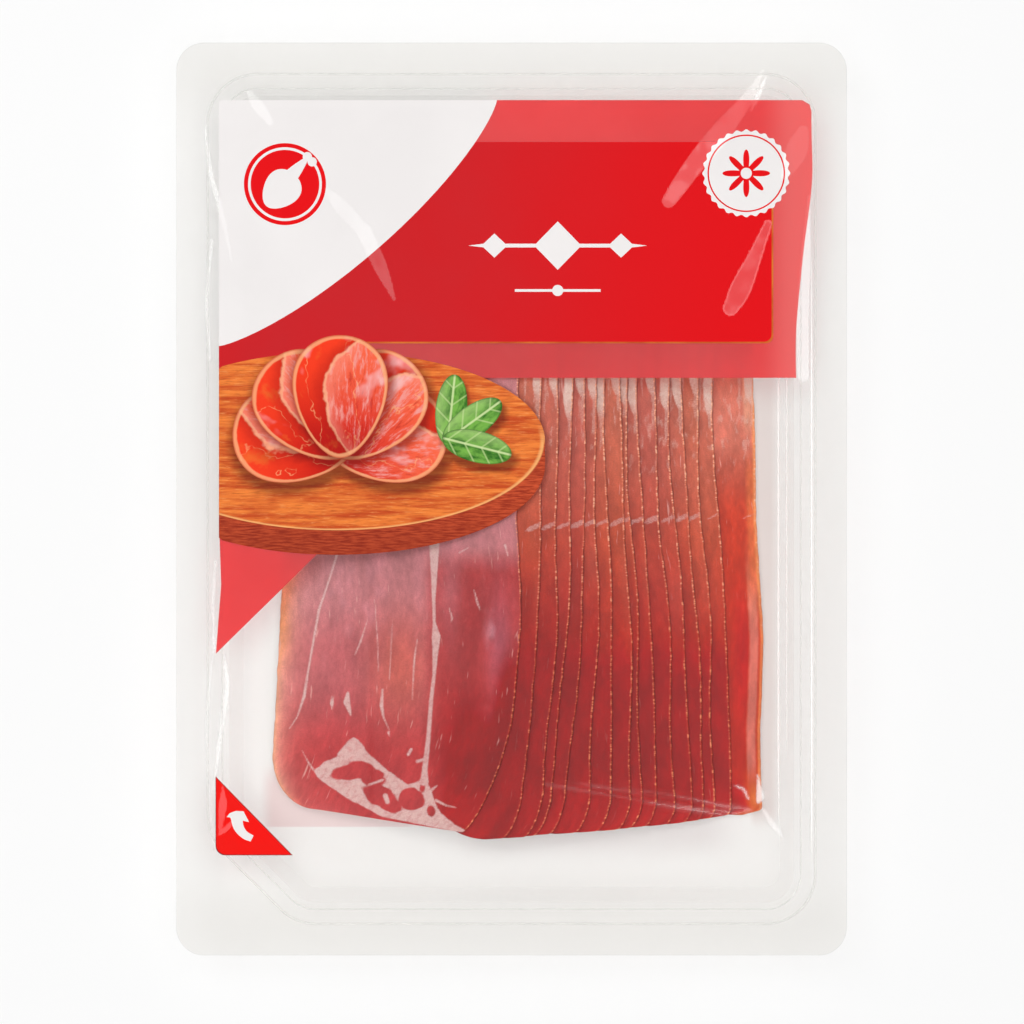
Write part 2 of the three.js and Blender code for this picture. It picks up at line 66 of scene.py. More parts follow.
def smooth(t):
    t = np.clip(t, 0, 1)
    return t * t * (3 - 2 * t)


def value_noise(x, y, seed, octaves=3):
    """Smooth noise from -1 to 1 over a plane, the same on every run."""
    total = np.zeros(np.broadcast(x, y).shape)
    weight = 0.0
    for k in range(octaves):
        gx, gy = x * 2**k + 13.7 * k + seed, y * 2**k - 7.3 * k + 2.1 * seed
        ix, iy = np.floor(gx), np.floor(gy)
        fx, fy = smooth(gx - ix), smooth(gy - iy)

        def node(a, b):
            h = np.sin(a * 127.1 + b * 311.7 + seed * 74.7) * 43758.5453
            return h - np.floor(h)

        low = node(ix, iy) * (1 - fx) + node(ix + 1, iy) * fx
        high = node(ix, iy + 1) * (1 - fx) + node(ix + 1, iy + 1) * fx
        total += (low * (1 - fy) + high * fy - 0.5) * 2 / 2**k
        weight += 1 / 2**k
    return total / weight


def linear(colour):
    """Screen colour, 0 to 255, to linear light."""
    c = np.asarray(colour, float) / 255
    return np.where(c <= 0.04045, c / 12.92, ((c + 0.055) / 1.055) ** 2.4)


def rgb(colour):
    return (*[float(v) for v in linear(colour)], 1.0)


FRAME_X, FRAME_Y, FRAME_MM = 511.5, 499, 0.2684


def at(px, py, width=None):
    """Millimetres in the pack's plane from a place in the 1024 frame, with a width where one is given."""
    point = ((px - FRAME_X) * FRAME_MM, (FRAME_Y - py) * FRAME_MM)
    return point if width is None else (*point, width * FRAME_MM)


def drawn(path):
    return [at(*point) for point in path]


# ---------------------------------------------------------------- meshes

def make_object(name, verts, faces):
    mesh = bpy.data.meshes.new(name)
    mesh.from_pydata((np.asarray(verts) * MM).tolist(), [], [list(map(int, f)) for f in faces])
    mesh.validate()
    mesh.polygons.foreach_set("use_smooth", [True] * len(mesh.polygons))
    obj = bpy.data.objects.new(name, mesh)
    bpy.context.scene.collection.objects.link(obj)
    return obj


def belongs(obj, slot, *nodes):
    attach(obj, "root")
    if nodes:
        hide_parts(*nodes)


def closed_sheet(name, x, y, top, bottom):
    """A closed sheet over a grid. The top and the bottom share the vertices of the border."""
    rows, cols = x.shape
    upper = np.arange(rows * cols).reshape(rows, cols)
    lower = upper.copy()
    inner = np.zeros((rows, cols), bool)
    inner[1:-1, 1:-1] = True
    lower[inner] = rows * cols + np.arange(inner.sum())
    z = np.where(inner, top, (top + bottom) / 2)
    verts = np.concatenate([
        np.stack([x, y, z], -1).reshape(-1, 3),
        np.stack([x[inner], y[inner], bottom[inner]], -1),
    ])
    quads = []
    for grid, turned in ((upper, False), (lower, True)):
        a, b, c, d = grid[:-1, :-1], grid[:-1, 1:], grid[1:, 1:], grid[1:, :-1]
        order = (a, d, c, b) if turned else (a, b, c, d)
        quads.append(np.stack(order, -1).reshape(-1, 4))
    return make_object(name, verts, np.concatenate(quads)), inner


def attribute(obj, name, values, kind="FLOAT"):
    layer = obj.data.attributes.new(name, kind, "POINT")
    field = {"FLOAT": "value", "FLOAT_COLOR": "color", "FLOAT_VECTOR": "vector"}[kind]
    layer.data.foreach_set(field, np.ascontiguousarray(values, dtype=np.float32).ravel())


def both(values, inner):
    """A grid's values in the order of closed_sheet's vertices."""
    flat = values.reshape(-1, *values.shape[2:])
    return np.concatenate([flat, values[inner]])


# ---------------------------------------------------------------- outlines of the tray

def outline(half_w, half_l, radius, cut):
    """Five arcs (x, y, radius, start, end), with the corner at the lower left cut off where cut is given."""
    in_x, in_y = half_w - radius, half_l - radius
    shift = cut - radius + radius * math.tan(math.pi / 8) if cut else 0
    return [
        (in_x, in_y, radius, 0, 90),
        (-in_x, in_y, radius, 90, 180),
        (-in_x, -in_y + shift, radius, 180, 225),
        (-in_x + shift, -in_y, radius, 225, 270),
        (in_x, -in_y, radius, 270, 360),
    ]


PACK_ARCS = outline(PACK_W / 2, PACK_L / 2, PACK_R, 0)
PACK_ARCS[2] = (*PACK_ARCS[2][:4], 205)
PACK_ARCS[3] = (*PACK_ARCS[3][:3], 245, 270)
SEAL_ARCS = outline(SEAL_X, SEAL_Y, SEAL_R, PEEL_CUT)
ARC_STEPS, SIDE_STEPS = 14, 16


def contour(arcs, inset):
    """Points round five arcs with straight sides between them, each side split into equal steps."""
    points = []
    for k, (x, y, radius, start, end) in enumerate(arcs):
        next_x, next_y, next_radius, next_start, _ = arcs[(k + 1) % len(arcs)]
        angles = np.linspace(start, end, ARC_STEPS + 1)
        one_centre = (x, y) == (next_x, next_y)
        if one_centre:
            angles = np.concatenate([angles, np.linspace(end, next_start, SIDE_STEPS + 1)[1:-1]])
        reach = radius - inset
        points += [(x + reach * math.cos(a), y + reach * math.sin(a)) for a in np.radians(angles)]
        if one_centre:
            continue
        a = np.array(points[-1])
        b = polar(next_x, next_y, next_radius - inset, next_start)
        points += [tuple(a + (b - a) * t) for t in np.arange(1, SIDE_STEPS) / SIDE_STEPS]
    return np.array(points)


def polar(x, y, distance, degrees):
    a = math.radians(degrees)
    return np.array([x + distance * math.cos(a), y + distance * math.sin(a)])


def inside_cavity(x, y):
    """How far a point lies inside the cavity's border, below 0 outside it."""
    dx = np.abs(x) - (SEAL_X - SEAL_BAND - FILM_R)
    dy = np.abs(y) - (SEAL_Y - SEAL_BAND - FILM_R)
    past = np.hypot(np.maximum(dx, 0), np.maximum(dy, 0)) + np.minimum(np.maximum(dx, dy), 0)
    cut = (x + y + SEAL_X + SEAL_Y - PEEL_CUT) / math.sqrt(2) - SEAL_BAND
    return np.minimum(FILM_R - past, cut - 2)


# ---------------------------------------------------------------- drawing on a plane

STROKE_REACH, FAR_OUT = 5, -3.0


def strokes(x, y, lines):
    """How far each point lies inside tapering lines of (x, y, width), in mm, below 0 outside them."""
    depth = np.full(x.shape, FAR_OUT)
    for line in lines:
        for (ax, ay, aw), (bx, by, bw) in zip(line[:-1], line[1:]):
            near = (x > min(ax, bx) - STROKE_REACH) & (x < max(ax, bx) + STROKE_REACH)
            near &= (y > min(ay, by) - STROKE_REACH) & (y < max(ay, by) + STROKE_REACH)
            if not near.any():
                continue
            px, py = x[near] - ax, y[near] - ay
            dx, dy = bx - ax, by - ay
            t = np.clip((px * dx + py * dy) / (dx * dx + dy * dy), 0, 1)
            distance = np.hypot(px - t * dx, py - t * dy)
            depth[near] = np.maximum(depth[near], (aw + (bw - aw) * t) / 2 - distance)
    return depth


def inside(points, polygon):
    """Which points lie in a polygon."""
    x, y = points[:, 0], points[:, 1]
    hit = np.zeros(len(points), bool)
    for (ax, ay), (bx, by) in zip(polygon, np.roll(polygon, -1, 0)):
        crosses = (ay > y) != (by > y)
        with np.errstate(divide="ignore", invalid="ignore"):
            hit ^= crosses & (x < (bx - ax) * (y - ay) / (by - ay) + ax)
    return hit


def scatter_points(low, high, step, fine_step):
    """Points over a box, a little off a grid, and closer together on the film's creases."""
    kinds = []
    for size, wanted in ((step, False), (fine_step, True)):
        gx, gy = np.meshgrid(np.arange(low[0], high[0], size), np.arange(low[1], high[1], size))
        grid = np.column_stack([gx.ravel(), gy.ravel()]) + rng.uniform(-0.2, 0.2, (gx.size, 2)) * size
        creased = np.zeros(len(grid), bool)
        for path in [*(crease[0] for crease in CREASES), BAND]:
            creased |= strokes(grid[:, 0], grid[:, 1], [path]) > -1.2
        kinds.append(grid[creased == wanted])
    return np.concatenate(kinds)


def triangle_net(outlines, grid):
    """Triangles with corners on closed outlines and on the grid points."""
    coords, edges = [], []
    for outline_points in outlines:
        base, count = len(coords), len(outline_points)
        coords += outline_points.tolist()
        edges += [(base + k, base + (k + 1) % count) for k in range(count)]
    coords += grid.tolist()
    found = delaunay_2d_cdt([Vector(c) for c in coords], edges, [], 0, 1e-4, False)
    return np.array([v[:] for v in found[0]]), np.array(found[2])


def facing_up(p, faces):
    """The same faces, each turned so that it faces up."""
    corners = p[faces]
    area = np.cross(corners[:, 1] - corners[:, 0], corners[:, 2] - corners[:, 0])
    turned = faces.copy()
    turned[area < 0] = faces[area < 0][:, ::-1]
    return turned


# ---------------------------------------------------------------- materials

PLASTIC_IOR = 1.5


def material(name):
    mat = bpy.data.materials.new(name)
    mat.use_nodes = True
    mat.node_tree.nodes.clear()
    return mat


class Nodes:
    """Short ways to add nodes to a material."""

    def __init__(self, mat):
        self.tree = mat.node_tree

    def add(self, kind, inputs=None, **settings):
        node = self.tree.nodes.new(kind)
        for key, value in settings.items():
            setattr(node, key, value)
        for key, value in (inputs or {}).items():
            self.put(node.inputs[key], value)
        return node

    def put(self, socket, value):
        if isinstance(value, bpy.types.NodeSocket):
            self.tree.links.new(value, socket)
        elif isinstance(value, bpy.types.Node):
            self.tree.links.new(value.outputs[0], socket)
        else:
            socket.default_value = value

    def math(self, operation, a, b=0.0, c=0.0, clamp=False):
        return self.add("ShaderNodeMath", {0: a, 1: b, 2: c}, operation=operation, use_clamp=clamp)

    def times(self, product, *factors):
        for factor in factors:
            product = self.math("MULTIPLY", product, factor)
        return product

    def span(self, value, low, high, to_low=0.0, to_high=1.0):
        """A soft step from to_low at low to to_high at high."""
        return self.add(
            "ShaderNodeMapRange",
            {"Value": value, "From Min": low, "From Max": high, "To Min": to_low, "To Max": to_high},
            interpolation_type="SMOOTHSTEP",
        )

    def mix(self, factor, a, b):
        node = self.add("ShaderNodeMix", data_type="RGBA", blend_type="MIX")
        self.put(node.inputs[0], factor)
        self.put(node.inputs[6], a)
        self.put(node.inputs[7], b)
        return node.outputs[2]

    def between(self, factor, first, second):
        """A mix of two screen colours."""
        return self.mix(factor, rgb(first), rgb(second))

    def painted(self, colour, *layers):
        """Screen colours laid over one another, each with its share."""
        for share, tone in layers:
            colour = self.mix(share, colour, rgb(tone))
        return colour

    def noise(self, scale, detail, rough, vector):
        inputs = {"Scale": scale, "Detail": detail, "Roughness": rough, "Vector": vector}
        return self.add("ShaderNodeTexNoise", inputs).outputs[0]

    def stretched(self, vector, x, y):
        return self.add("ShaderNodeMapping", {"Vector": vector, "Scale": (x, y, 1.0)})

    def attribute(self, name, output="Fac"):
        return self.add("ShaderNodeAttribute", attribute_name=name).outputs[output]

    def place(self):
        return self.add("ShaderNodeTexCoord").outputs["Object"]

    def split(self, vector):
        return self.add("ShaderNodeSeparateXYZ", {0: vector}).outputs

    def output(self, shader):
        surface = self.add("ShaderNodeOutputMaterial").inputs["Surface"]
        self.tree.links.new(shader.outputs[0], surface)


def clear_material(name, tint, gloss, base, haze, roughness):
    """Clear sheet: mostly see-through, whitish and shiny where it is seen at a slant."""
    mat = material(name)
    n = Nodes(mat)
    through = n.add("ShaderNodeBsdfTransparent")
    n.put(through.inputs["Color"], tint(n) if callable(tint) else (*tint, 1))
    skin = n.add("ShaderNodeBsdfPrincipled", {"Base Color": (*base, 1), "Roughness": roughness})
    skin.inputs["IOR"].default_value = PLASTIC_IOR
    share = 0.0
    if gloss or haze:
        fresnel = n.add("ShaderNodeFresnel", {"IOR": PLASTIC_IOR})
        share = n.math("MULTIPLY_ADD", fresnel, gloss, haze, clamp=True)
    n.output(n.add("ShaderNodeMixShader", {0: share, 1: through, 2: skin}))
    return mat


# ---------------------------------------------------------------- lid film

def film_height(x, y):
    """The plain film: a sag inside, a trough beside the wall, and a low ridge over the top slice's edge."""
    past = inside_cavity(x, y) - SAG_START
    reach = np.maximum(past, 0) / (TROUGH_AT - SAG_START)
    trough = 0.12 * TROUGH * reach**2 * np.exp(2 - 2 * reach)
    ridge = RIDGE * np.exp(-(((x - LOW[TOP]) / RIDGE_WIDE) ** 2)) * smooth(past / 20)
    dip = SAG * smooth(past / 18) + trough - ridge
    return TRAY_H + FILM_GAP - np.where(past > 0, dip, 0)


def eased(path, count=24):
    """A smooth path through points (x, y, width)."""
    p = np.array(path, float)
    p = np.concatenate([[2 * p[0] - p[1]], p, [2 * p[-1] - p[-2]]])
    p[:, 2] = np.maximum(p[:, 2], 0.05)
    out = []
    for t in np.linspace(0, len(path) - 1, count):
        k = min(int(t), len(path) - 2)
        f = t - k
        a, b, c, d = p[k:k + 4]
        second, third = 2 * a - 5 * b + 4 * c - d, 3 * b - 3 * c + d - a
        out.append(0.5 * (2 * b + (c - a) * f + second * f**2 + third * f**3))
    return np.array(out)


# The film's creases: their way and width in the 1024 frame, the side they face in degrees, how steeply they
# lean, and how much painted white glare lies on them.
CREASES = [
    ([(763, 70, 2), (748, 98, 12), (722, 131, 21), (698, 160, 20), (678, 188, 17), (669, 201, 14)],
     150, 0.21, 0),
    ([(766, 78, 2), (757, 98, 5), (751, 111, 2)], 150, 0.24, 0.2),
    ([(803, 132, 12), (796, 152, 22), (785, 176, 9)], 150, 0.2, 0),
    ([(768, 224, 7), (755, 256, 13), (741, 288, 20), (731, 308, 15)], 150, 0.37, 0),
    ([(364, 232, 16), (380, 266, 15), (394, 299, 5)], 60, 0.125, 0),
    ([(249, 93, 5), (258, 106, 11), (270, 122, 7)], 60, 0.17, 0),
    ([(326, 190, 6), (342, 208, 15), (362, 230, 14)], 60, 0.108, 0),
    ([(809, 196, 3), (806, 250, 9), (803, 310, 13), (803, 376, 12)], 150, 0.19, 0.25),
    ([(758, 775, 1), (759, 786, 4), (760, 797, 7), (758, 803, 2)], 150, 0.2, 0.55),
    ([(762, 808, 3), (771, 822, 6), (783, 838, 2)], 60, 0.19, 0.12),
    ([(206, 128, 2), (210, 170, 4), (222, 215, 5), (232, 262, 2)], 30, 0.19, 0.3),
    ([(212, 240, 2), (207, 300, 3), (210, 360, 2)], 30, 0.19, 0.3),
    ([(216, 560, 2), (213, 600, 3), (214, 650, 2)], 30, 0.19, 0.3),
    ([(224, 655, 2), (227, 690, 5), (219, 745, 4), (214, 790, 2)], 30, 0.19, 0.3),
    ([(215, 640, 1), (208, 700, 3), (208, 770, 2), (214, 850, 1)], 30, 0.19, 0.25),
    ([(223, 786, 3), (223, 806, 9), (220, 832, 4)], 150, 0.125, 0),
    ([(232, 823, 5), (225, 830, 6), (217, 837, 2)], 150, 0.14, 0),
    ([(222, 848, 5), (230, 848, 9), (238, 852, 4)], 60, 0.11, 0),
    ([(736, 786, 2), (744, 790, 3), (748, 799, 2)], 150, 0.2, 0.3),
]
CREASES = [(eased(drawn(path)), turn, tilt, white) for path, turn, tilt, white in CREASES]
# a wide crease over the slices, with a little painted white glare
BAND = eased(drawn([(548, 783, 6), (600, 790, 11), (660, 800, 15), (715, 808, 17), (748, 812, 12)]))
BAND_TURN, BAND_TILT, BAND_WHITE = 250, 0.118, 0.06


def crease_shares(x, y):
    """For each crease, how much of it there is at each point, with its slant."""
    for path, turn, tilt, white in CREASES:
        yield smooth(strokes(x, y, [path]) / 0.55 + 0.5), turn, tilt, white
    patches = smooth(0.5 + 1.4 * value_noise(x / 4.2 + 1.3 * y, y / 3.4, 5.1, 3))
    yield smooth(strokes(x, y, [BAND]) / 1.3 + 0.4) * patches, BAND_TURN, BAND_TILT, BAND_WHITE


def film_lift(x, y):
    """Height of the film with its fine waves and creases."""
    inside_share = smooth((inside_cavity(x, y) + 2) / 10)
    waves = WAVE * value_noise(x / 24, y / 30, 3.1, 2) * inside_share
    for path, _, _, _ in CREASES:
        waves = waves + CREASE_HIGH * smooth(strokes(x, y, [path]) / 1.4 + 0.2)
    return film_height(x, y) + waves


def film_normals(x, y):
    step = 0.05
    nx = (film_lift(x - step, y) - film_lift(x + step, y)) / (2 * step)
    ny = (film_lift(x, y - step) - film_lift(x, y + step)) / (2 * step)
    for share, turn, tilt, _ in crease_shares(x, y):
        slant = tilt * (1 + 0.16 * value_noise(x / 3, y / 3, turn, 2))
        nx = nx + (slant * math.cos(math.radians(turn)) - nx) * share
        ny = ny + (slant * math.sin(math.radians(turn)) - ny) * share
    return np.stack([nx, ny, np.ones_like(nx)], -1) / np.sqrt(nx**2 + ny**2 + 1)[..., None]


def surface_normals(obj, count):
    """The first faces of a sheet that follows the film shade as the film's true curve does."""
    mesh = obj.data
    total = np.empty(len(mesh.polygons), int)
    mesh.polygons.foreach_get("loop_total", total)
    vertex = np.empty(len(mesh.loops), int)
    mesh.loops.foreach_get("vertex_index", vertex)
    place = np.empty(len(mesh.vertices) * 3)
    mesh.vertices.foreach_get("co", place)
    place = place.reshape(-1, 3)[:, :2] / MM
    top = int(total[:count].sum())
    normals = np.zeros((len(vertex), 3))
    normals[:top] = film_normals(place[:, 0], place[:, 1])[vertex[:top]]
    mesh.normals_split_custom_set(normals.tolist())


def mirror_material(name, tint, roughness):
    """The film's outer face: see-through, a mirror that grows stronger at a slant, and painted white glare on
    creases.
    """
    mat = material(name)
    n = Nodes(mat)
    through = n.add("ShaderNodeBsdfTransparent", {"Color": (tint, tint, tint, 1)})
    mirror = {"Base Color": (1, 1, 1, 1), "Metallic": 1.0, "Roughness": roughness}
    skin = n.add("ShaderNodeBsdfPrincipled", mirror)
    fresnel = n.add("ShaderNodeFresnel", {"IOR": PLASTIC_IOR})
    clear = n.add("ShaderNodeMixShader", {0: fresnel, 1: through, 2: skin})
    glare_white = {"Base Color": (0.97, 0.96, 0.955, 1), "Roughness": 0.4}
    whitened = n.add("ShaderNodeBsdfPrincipled", glare_white)
    # painted white glare on the film's creases
    n.output(n.add("ShaderNodeMixShader", {0: n.attribute("crease_glare"), 1: clear, 2: whitened}))
    return mat


def sheet_patch(name, p, z, faces, thickness):
    """A thin closed patch: the given faces, the same faces below them, and a rim."""
    count = len(p)
    verts = np.concatenate([np.column_stack([p, z]), np.column_stack([p, z - thickness])])
    sides = np.concatenate([faces[:, [0, 1]], faces[:, [1, 2]], faces[:, [2, 0]]])
    key = sides[:, 0].astype(np.int64) * count + sides[:, 1]
    back = sides[:, 1].astype(np.int64) * count + sides[:, 0]
    rim = sides[~np.isin(key, back)]
    walls = np.column_stack([rim[:, 1], rim[:, 0], rim[:, 0] + count, rim[:, 1] + count])
    polygons = faces.tolist() + (faces[:, ::-1] + count).tolist() + walls.tolist()
    obj = make_object(name, verts, polygons)
    surface_normals(obj, len(faces))
    return obj


film_edge = contour(PACK_ARCS, 0)
film_grid = scatter_points((-PACK_W / 2, -PACK_L / 2), (PACK_W / 2, PACK_L / 2), 2.2, 0.5)
film_points, film_faces = triangle_net([film_edge], film_grid[inside(film_grid, contour(PACK_ARCS, 0.6))])
film_faces = facing_up(film_points, film_faces)
film = sheet_patch("lid_film_clear", film_points, film_lift(*film_points.T) + FILM, film_faces, FILM)
film.data.materials.append(mirror_material("clear_film", 0.99, 0.04))
film_under = clear_material("clear_film_under", (0.99, 0.99, 0.987), 0, (0.9, 0.9, 0.9), 0, 0.3)
film.data.materials.append(film_under)
under_count = len(film.data.polygons) - len(film_faces)
film.data.polygons.foreach_set("material_index", [0] * len(film_faces) + [1] * under_count)
# painted white glare on the creases, on the top faces only
crease_glare = sum(share * white for share, _, _, white in crease_shares(*film_points.T))
attribute(film, "crease_glare", np.concatenate([crease_glare, 0 * crease_glare]))
belongs(film, "film", "lid_film")

# ---------------------------------------------------------------- tray

def tray_profile():
    """The tray's upper face as (distance in from the seal's outline, height), from the rim to the floor."""
    edge, foot = SEAL_BAND, SEAL_BAND + WALL_RUN
    return [
        (-0.9, TRAY_H - RIM_DROP), (-0.5, TRAY_H - RIM_DROP + 0.05), (-0.15, TRAY_H - 0.05), (0.2, TRAY_H),
        (edge - 0.2, TRAY_H), (edge + 0.2, TRAY_H - 0.08), (edge + 0.55, TRAY_H - 0.4),
        (edge + 0.9, TRAY_H - 1.2), (foot - 0.9, SHEET + 3.4), (foot - 0.55, SHEET + 2.2),
        (foot - 0.1, SHEET + 1.1), (foot + 0.6, SHEET + 0.4), (foot + 1.5, SHEET + 0.08), (foot + 2.6, SHEET),
    ]


def tray_object():
    profile = tray_profile()
    rim_top = TRAY_H - RIM_DROP
    upper = [("pack", 0, rim_top - 0.15), ("pack", 0.15, rim_top), ("pack", 3.0, rim_top)]
    upper += [("seal", inset, z) for inset, z in profile]
    under = []
    for k, (inset, z) in enumerate(profile):
        a, b = profile[max(k - 1, 0)], profile[min(k + 1, len(profile) - 1)]
        length = math.hypot(b[0] - a[0], b[1] - a[1])
        under.append(("seal", inset + SHEET * (b[1] - a[1]) / length, z - SHEET * (b[0] - a[0]) / length))
    under[-1] = ("seal", profile[-1][0], 0.0)
    lower = [("pack", 0.15, rim_top - SHEET), ("pack", 3.0, rim_top - SHEET)] + under
    rings = []
    for kind, inset, z in upper + lower[::-1]:
        points = contour(PACK_ARCS if kind == "pack" else SEAL_ARCS, inset)
        rings.append(np.column_stack([points, np.full(len(points), z)]))
    count = len(rings[0])
    floor_ring = len(upper) - 1
    faces = []
    for ring_at in range(len(rings)):
        if ring_at == floor_ring:
            continue
        here, there = ring_at * count, ((ring_at + 1) % len(rings)) * count
        for i in range(count):
            j = (i + 1) % count
            faces.append((here + i, here + j, there + j, there + i))
    faces.append(tuple(floor_ring * count + i for i in range(count)))
    faces.append(tuple((floor_ring + 1) * count + i for i in reversed(range(count))))
    return make_object("tray_clear", np.concatenate(rings), faces)


def tray_tint(n):
    """What the tray lets through: less at both ends, more left of the ham as painted light, a painted shadow
    of the ham with its pink reflected light beside it, a painted soft shade below it, and painted pink light
    reflected from the ham at its lower left.
    """
    x, y, _ = n.split(n.place())
    across = n.math("ABSOLUTE", y)
    plain = n.mix(n.span(across, 0.098, 0.116), (0.985, 0.981, 0.975, 1), (0.974, 0.969, 0.96, 1))
    # painted light: the floor left of the ham shows lighter through the tray
    left = n.times(n.span(x, -0.064, -0.07), n.span(x, -0.079, -0.076), n.span(across, 0.108, 0.1))
    plain = n.mix(left, plain, (1.0, 0.993, 0.987, 1))
    # painted soft shade on the floor below the fan
    below = n.times(
        n.span(y, -0.099, -0.09), n.span(y, -0.076, -0.08), n.span(x, -0.02, 0.0), n.span(x, 0.064, 0.05), 0.8
    )
    plain = n.mix(below, plain, (0.94, 0.925, 0.922, 1))
    # painted shadow of the ham, with its pink reflected light, on the floor beside it
    beside = n.times(
        n.span(x, 0.0735, 0.0695), n.span(x, 0.064, 0.066), n.span(y, -0.09, -0.084), n.span(y, 0.045, 0.034)
    )
    ham_shadow_tint = n.mix(beside, plain, (0.94, 0.91, 0.9, 1))
    # painted pink light reflected from the ham, below its lower left
    low = n.times(
        n.span(y, -0.0889, -0.0884), n.span(y, -0.07, -0.078), n.span(x, -0.0685, -0.064),
        n.span(x, -0.024, -0.03),
    )
    return n.mix(low, ham_shadow_tint, (0.965, 0.905, 0.9, 1))


tray = tray_object()
tray.data.materials.append(clear_material("clear_tray", tray_tint, 0.14, (0.95, 0.945, 0.94), -0.0066, 0.12))
belongs(tray, "tray", "tray")


def tube(name, path, outward, widths, height, flat, closed, piece, slot):
    """A thin round line along a path in the plane, flattened to a share of its width."""
    angles = np.radians(np.arange(0, 360, 45))
    verts = []
    for p, out, r in zip(path, outward, widths):
        verts += [(*(p + out * r * math.cos(a)), height + flat * r * math.sin(a)) for a in angles]
    count, sides = len(path), len(angles)
    faces = []
    for k in range(count if closed else count - 1):
        a, b = k * sides, (k + 1) % count * sides
        faces += [(a + j, b + j, b + (j + 1) % sides, a + (j + 1) % sides) for j in range(sides)]
    if not closed:
        faces.append(tuple(range(sides)))
        faces.append(tuple((count - 1) * sides + j for j in reversed(range(sides))))
    obj = make_object(name, verts, faces)
    obj.data.materials.append(piece)
    belongs(obj, slot)


def bead(name, inset, lift, radius, piece):
    """A fine raised line round the pack, pressed into the seal."""
    path = contour(SEAL_ARCS, inset)
    ahead = np.roll(path, -1, 0) - np.roll(path, 1, 0)
    outward = np.column_stack([ahead[:, 1], -ahead[:, 0]]) / np.hypot(*ahead.T)[:, None]
    height = TRAY_H + FILM_GAP + FILM + lift
    tube(name, path, outward, [radius] * len(path), height, 0.5, True, piece, "film")


def gleam_line(name, inset, height, radius, low, high, piece):
    """A fine straight line along the right side for a painted highlight, running out to a point at both ends.
    """
    steps = np.linspace(0, 1, 41)
    widths = np.maximum(radius * np.minimum(1, 6 * np.minimum(steps, 1 - steps)) ** 0.5, 0.01)
    path = np.column_stack([np.full(len(steps), SEAL_X - inset), low + (high - low) * steps])
    tube(name, path, [np.array([1.0, 0.0])] * len(steps), widths, height, 0.6, False, piece, "tray")


pressed = clear_material("pressed_line", (0.97, 0.97, 0.965), 0.06, (0.8, 0.79, 0.78), 0.1, 0.5)
bead("seal_line", 0.0, 0.1, 0.3, pressed)
bead("seal_inner_line", 3.9, 0.06, 0.2, pressed)

# painted highlights: white lines that glow a little, where the tray's bends catch the light on the right side
gleam = clear_material("bend_gleam", (1.0, 1.0, 1.0), 0.0, (1.0, 0.99, 0.985), 0.3, 0.4)
gleam.cycles.emission_sampling = "NONE"
glow = gleam.node_tree.nodes["Principled BSDF"]
glow.inputs["Emission Color"].default_value = (1.0, 1.0, 1.0, 1.0)
glow.inputs["Emission Strength"].default_value = 0.25
gleam_line("wall_foot_gleam", SEAL_BAND + WALL_RUN + 0.25, SHEET + 0.7, 0.28, -88, 52, gleam)
gleam_line("wall_middle_gleam", SEAL_BAND + WALL_RUN - 1.7, SHEET + 5.8, 0.12, -70, 60, gleam)
gleam_line("seal_gleam", 0.95, TRAY_H + 0.08, 0.2, -98, 66, gleam)

# ---------------------------------------------------------------- slices

def fan_base(x, y):
    """Height of the fan's underside, lower by a step for each slice that doesn't reach so far left."""
    steps = np.interp(-np.asarray(x), -LEFTS, np.arange(TOP + 1))
    return SHEET + CLEAR + 0.12 * (1 + np.sin(x / 17 + y / 23)) - PITCH * steps


def fan_end(i):
    return FAN_END - FAN_DROP * (i / (TOP - 1)) ** 0.65


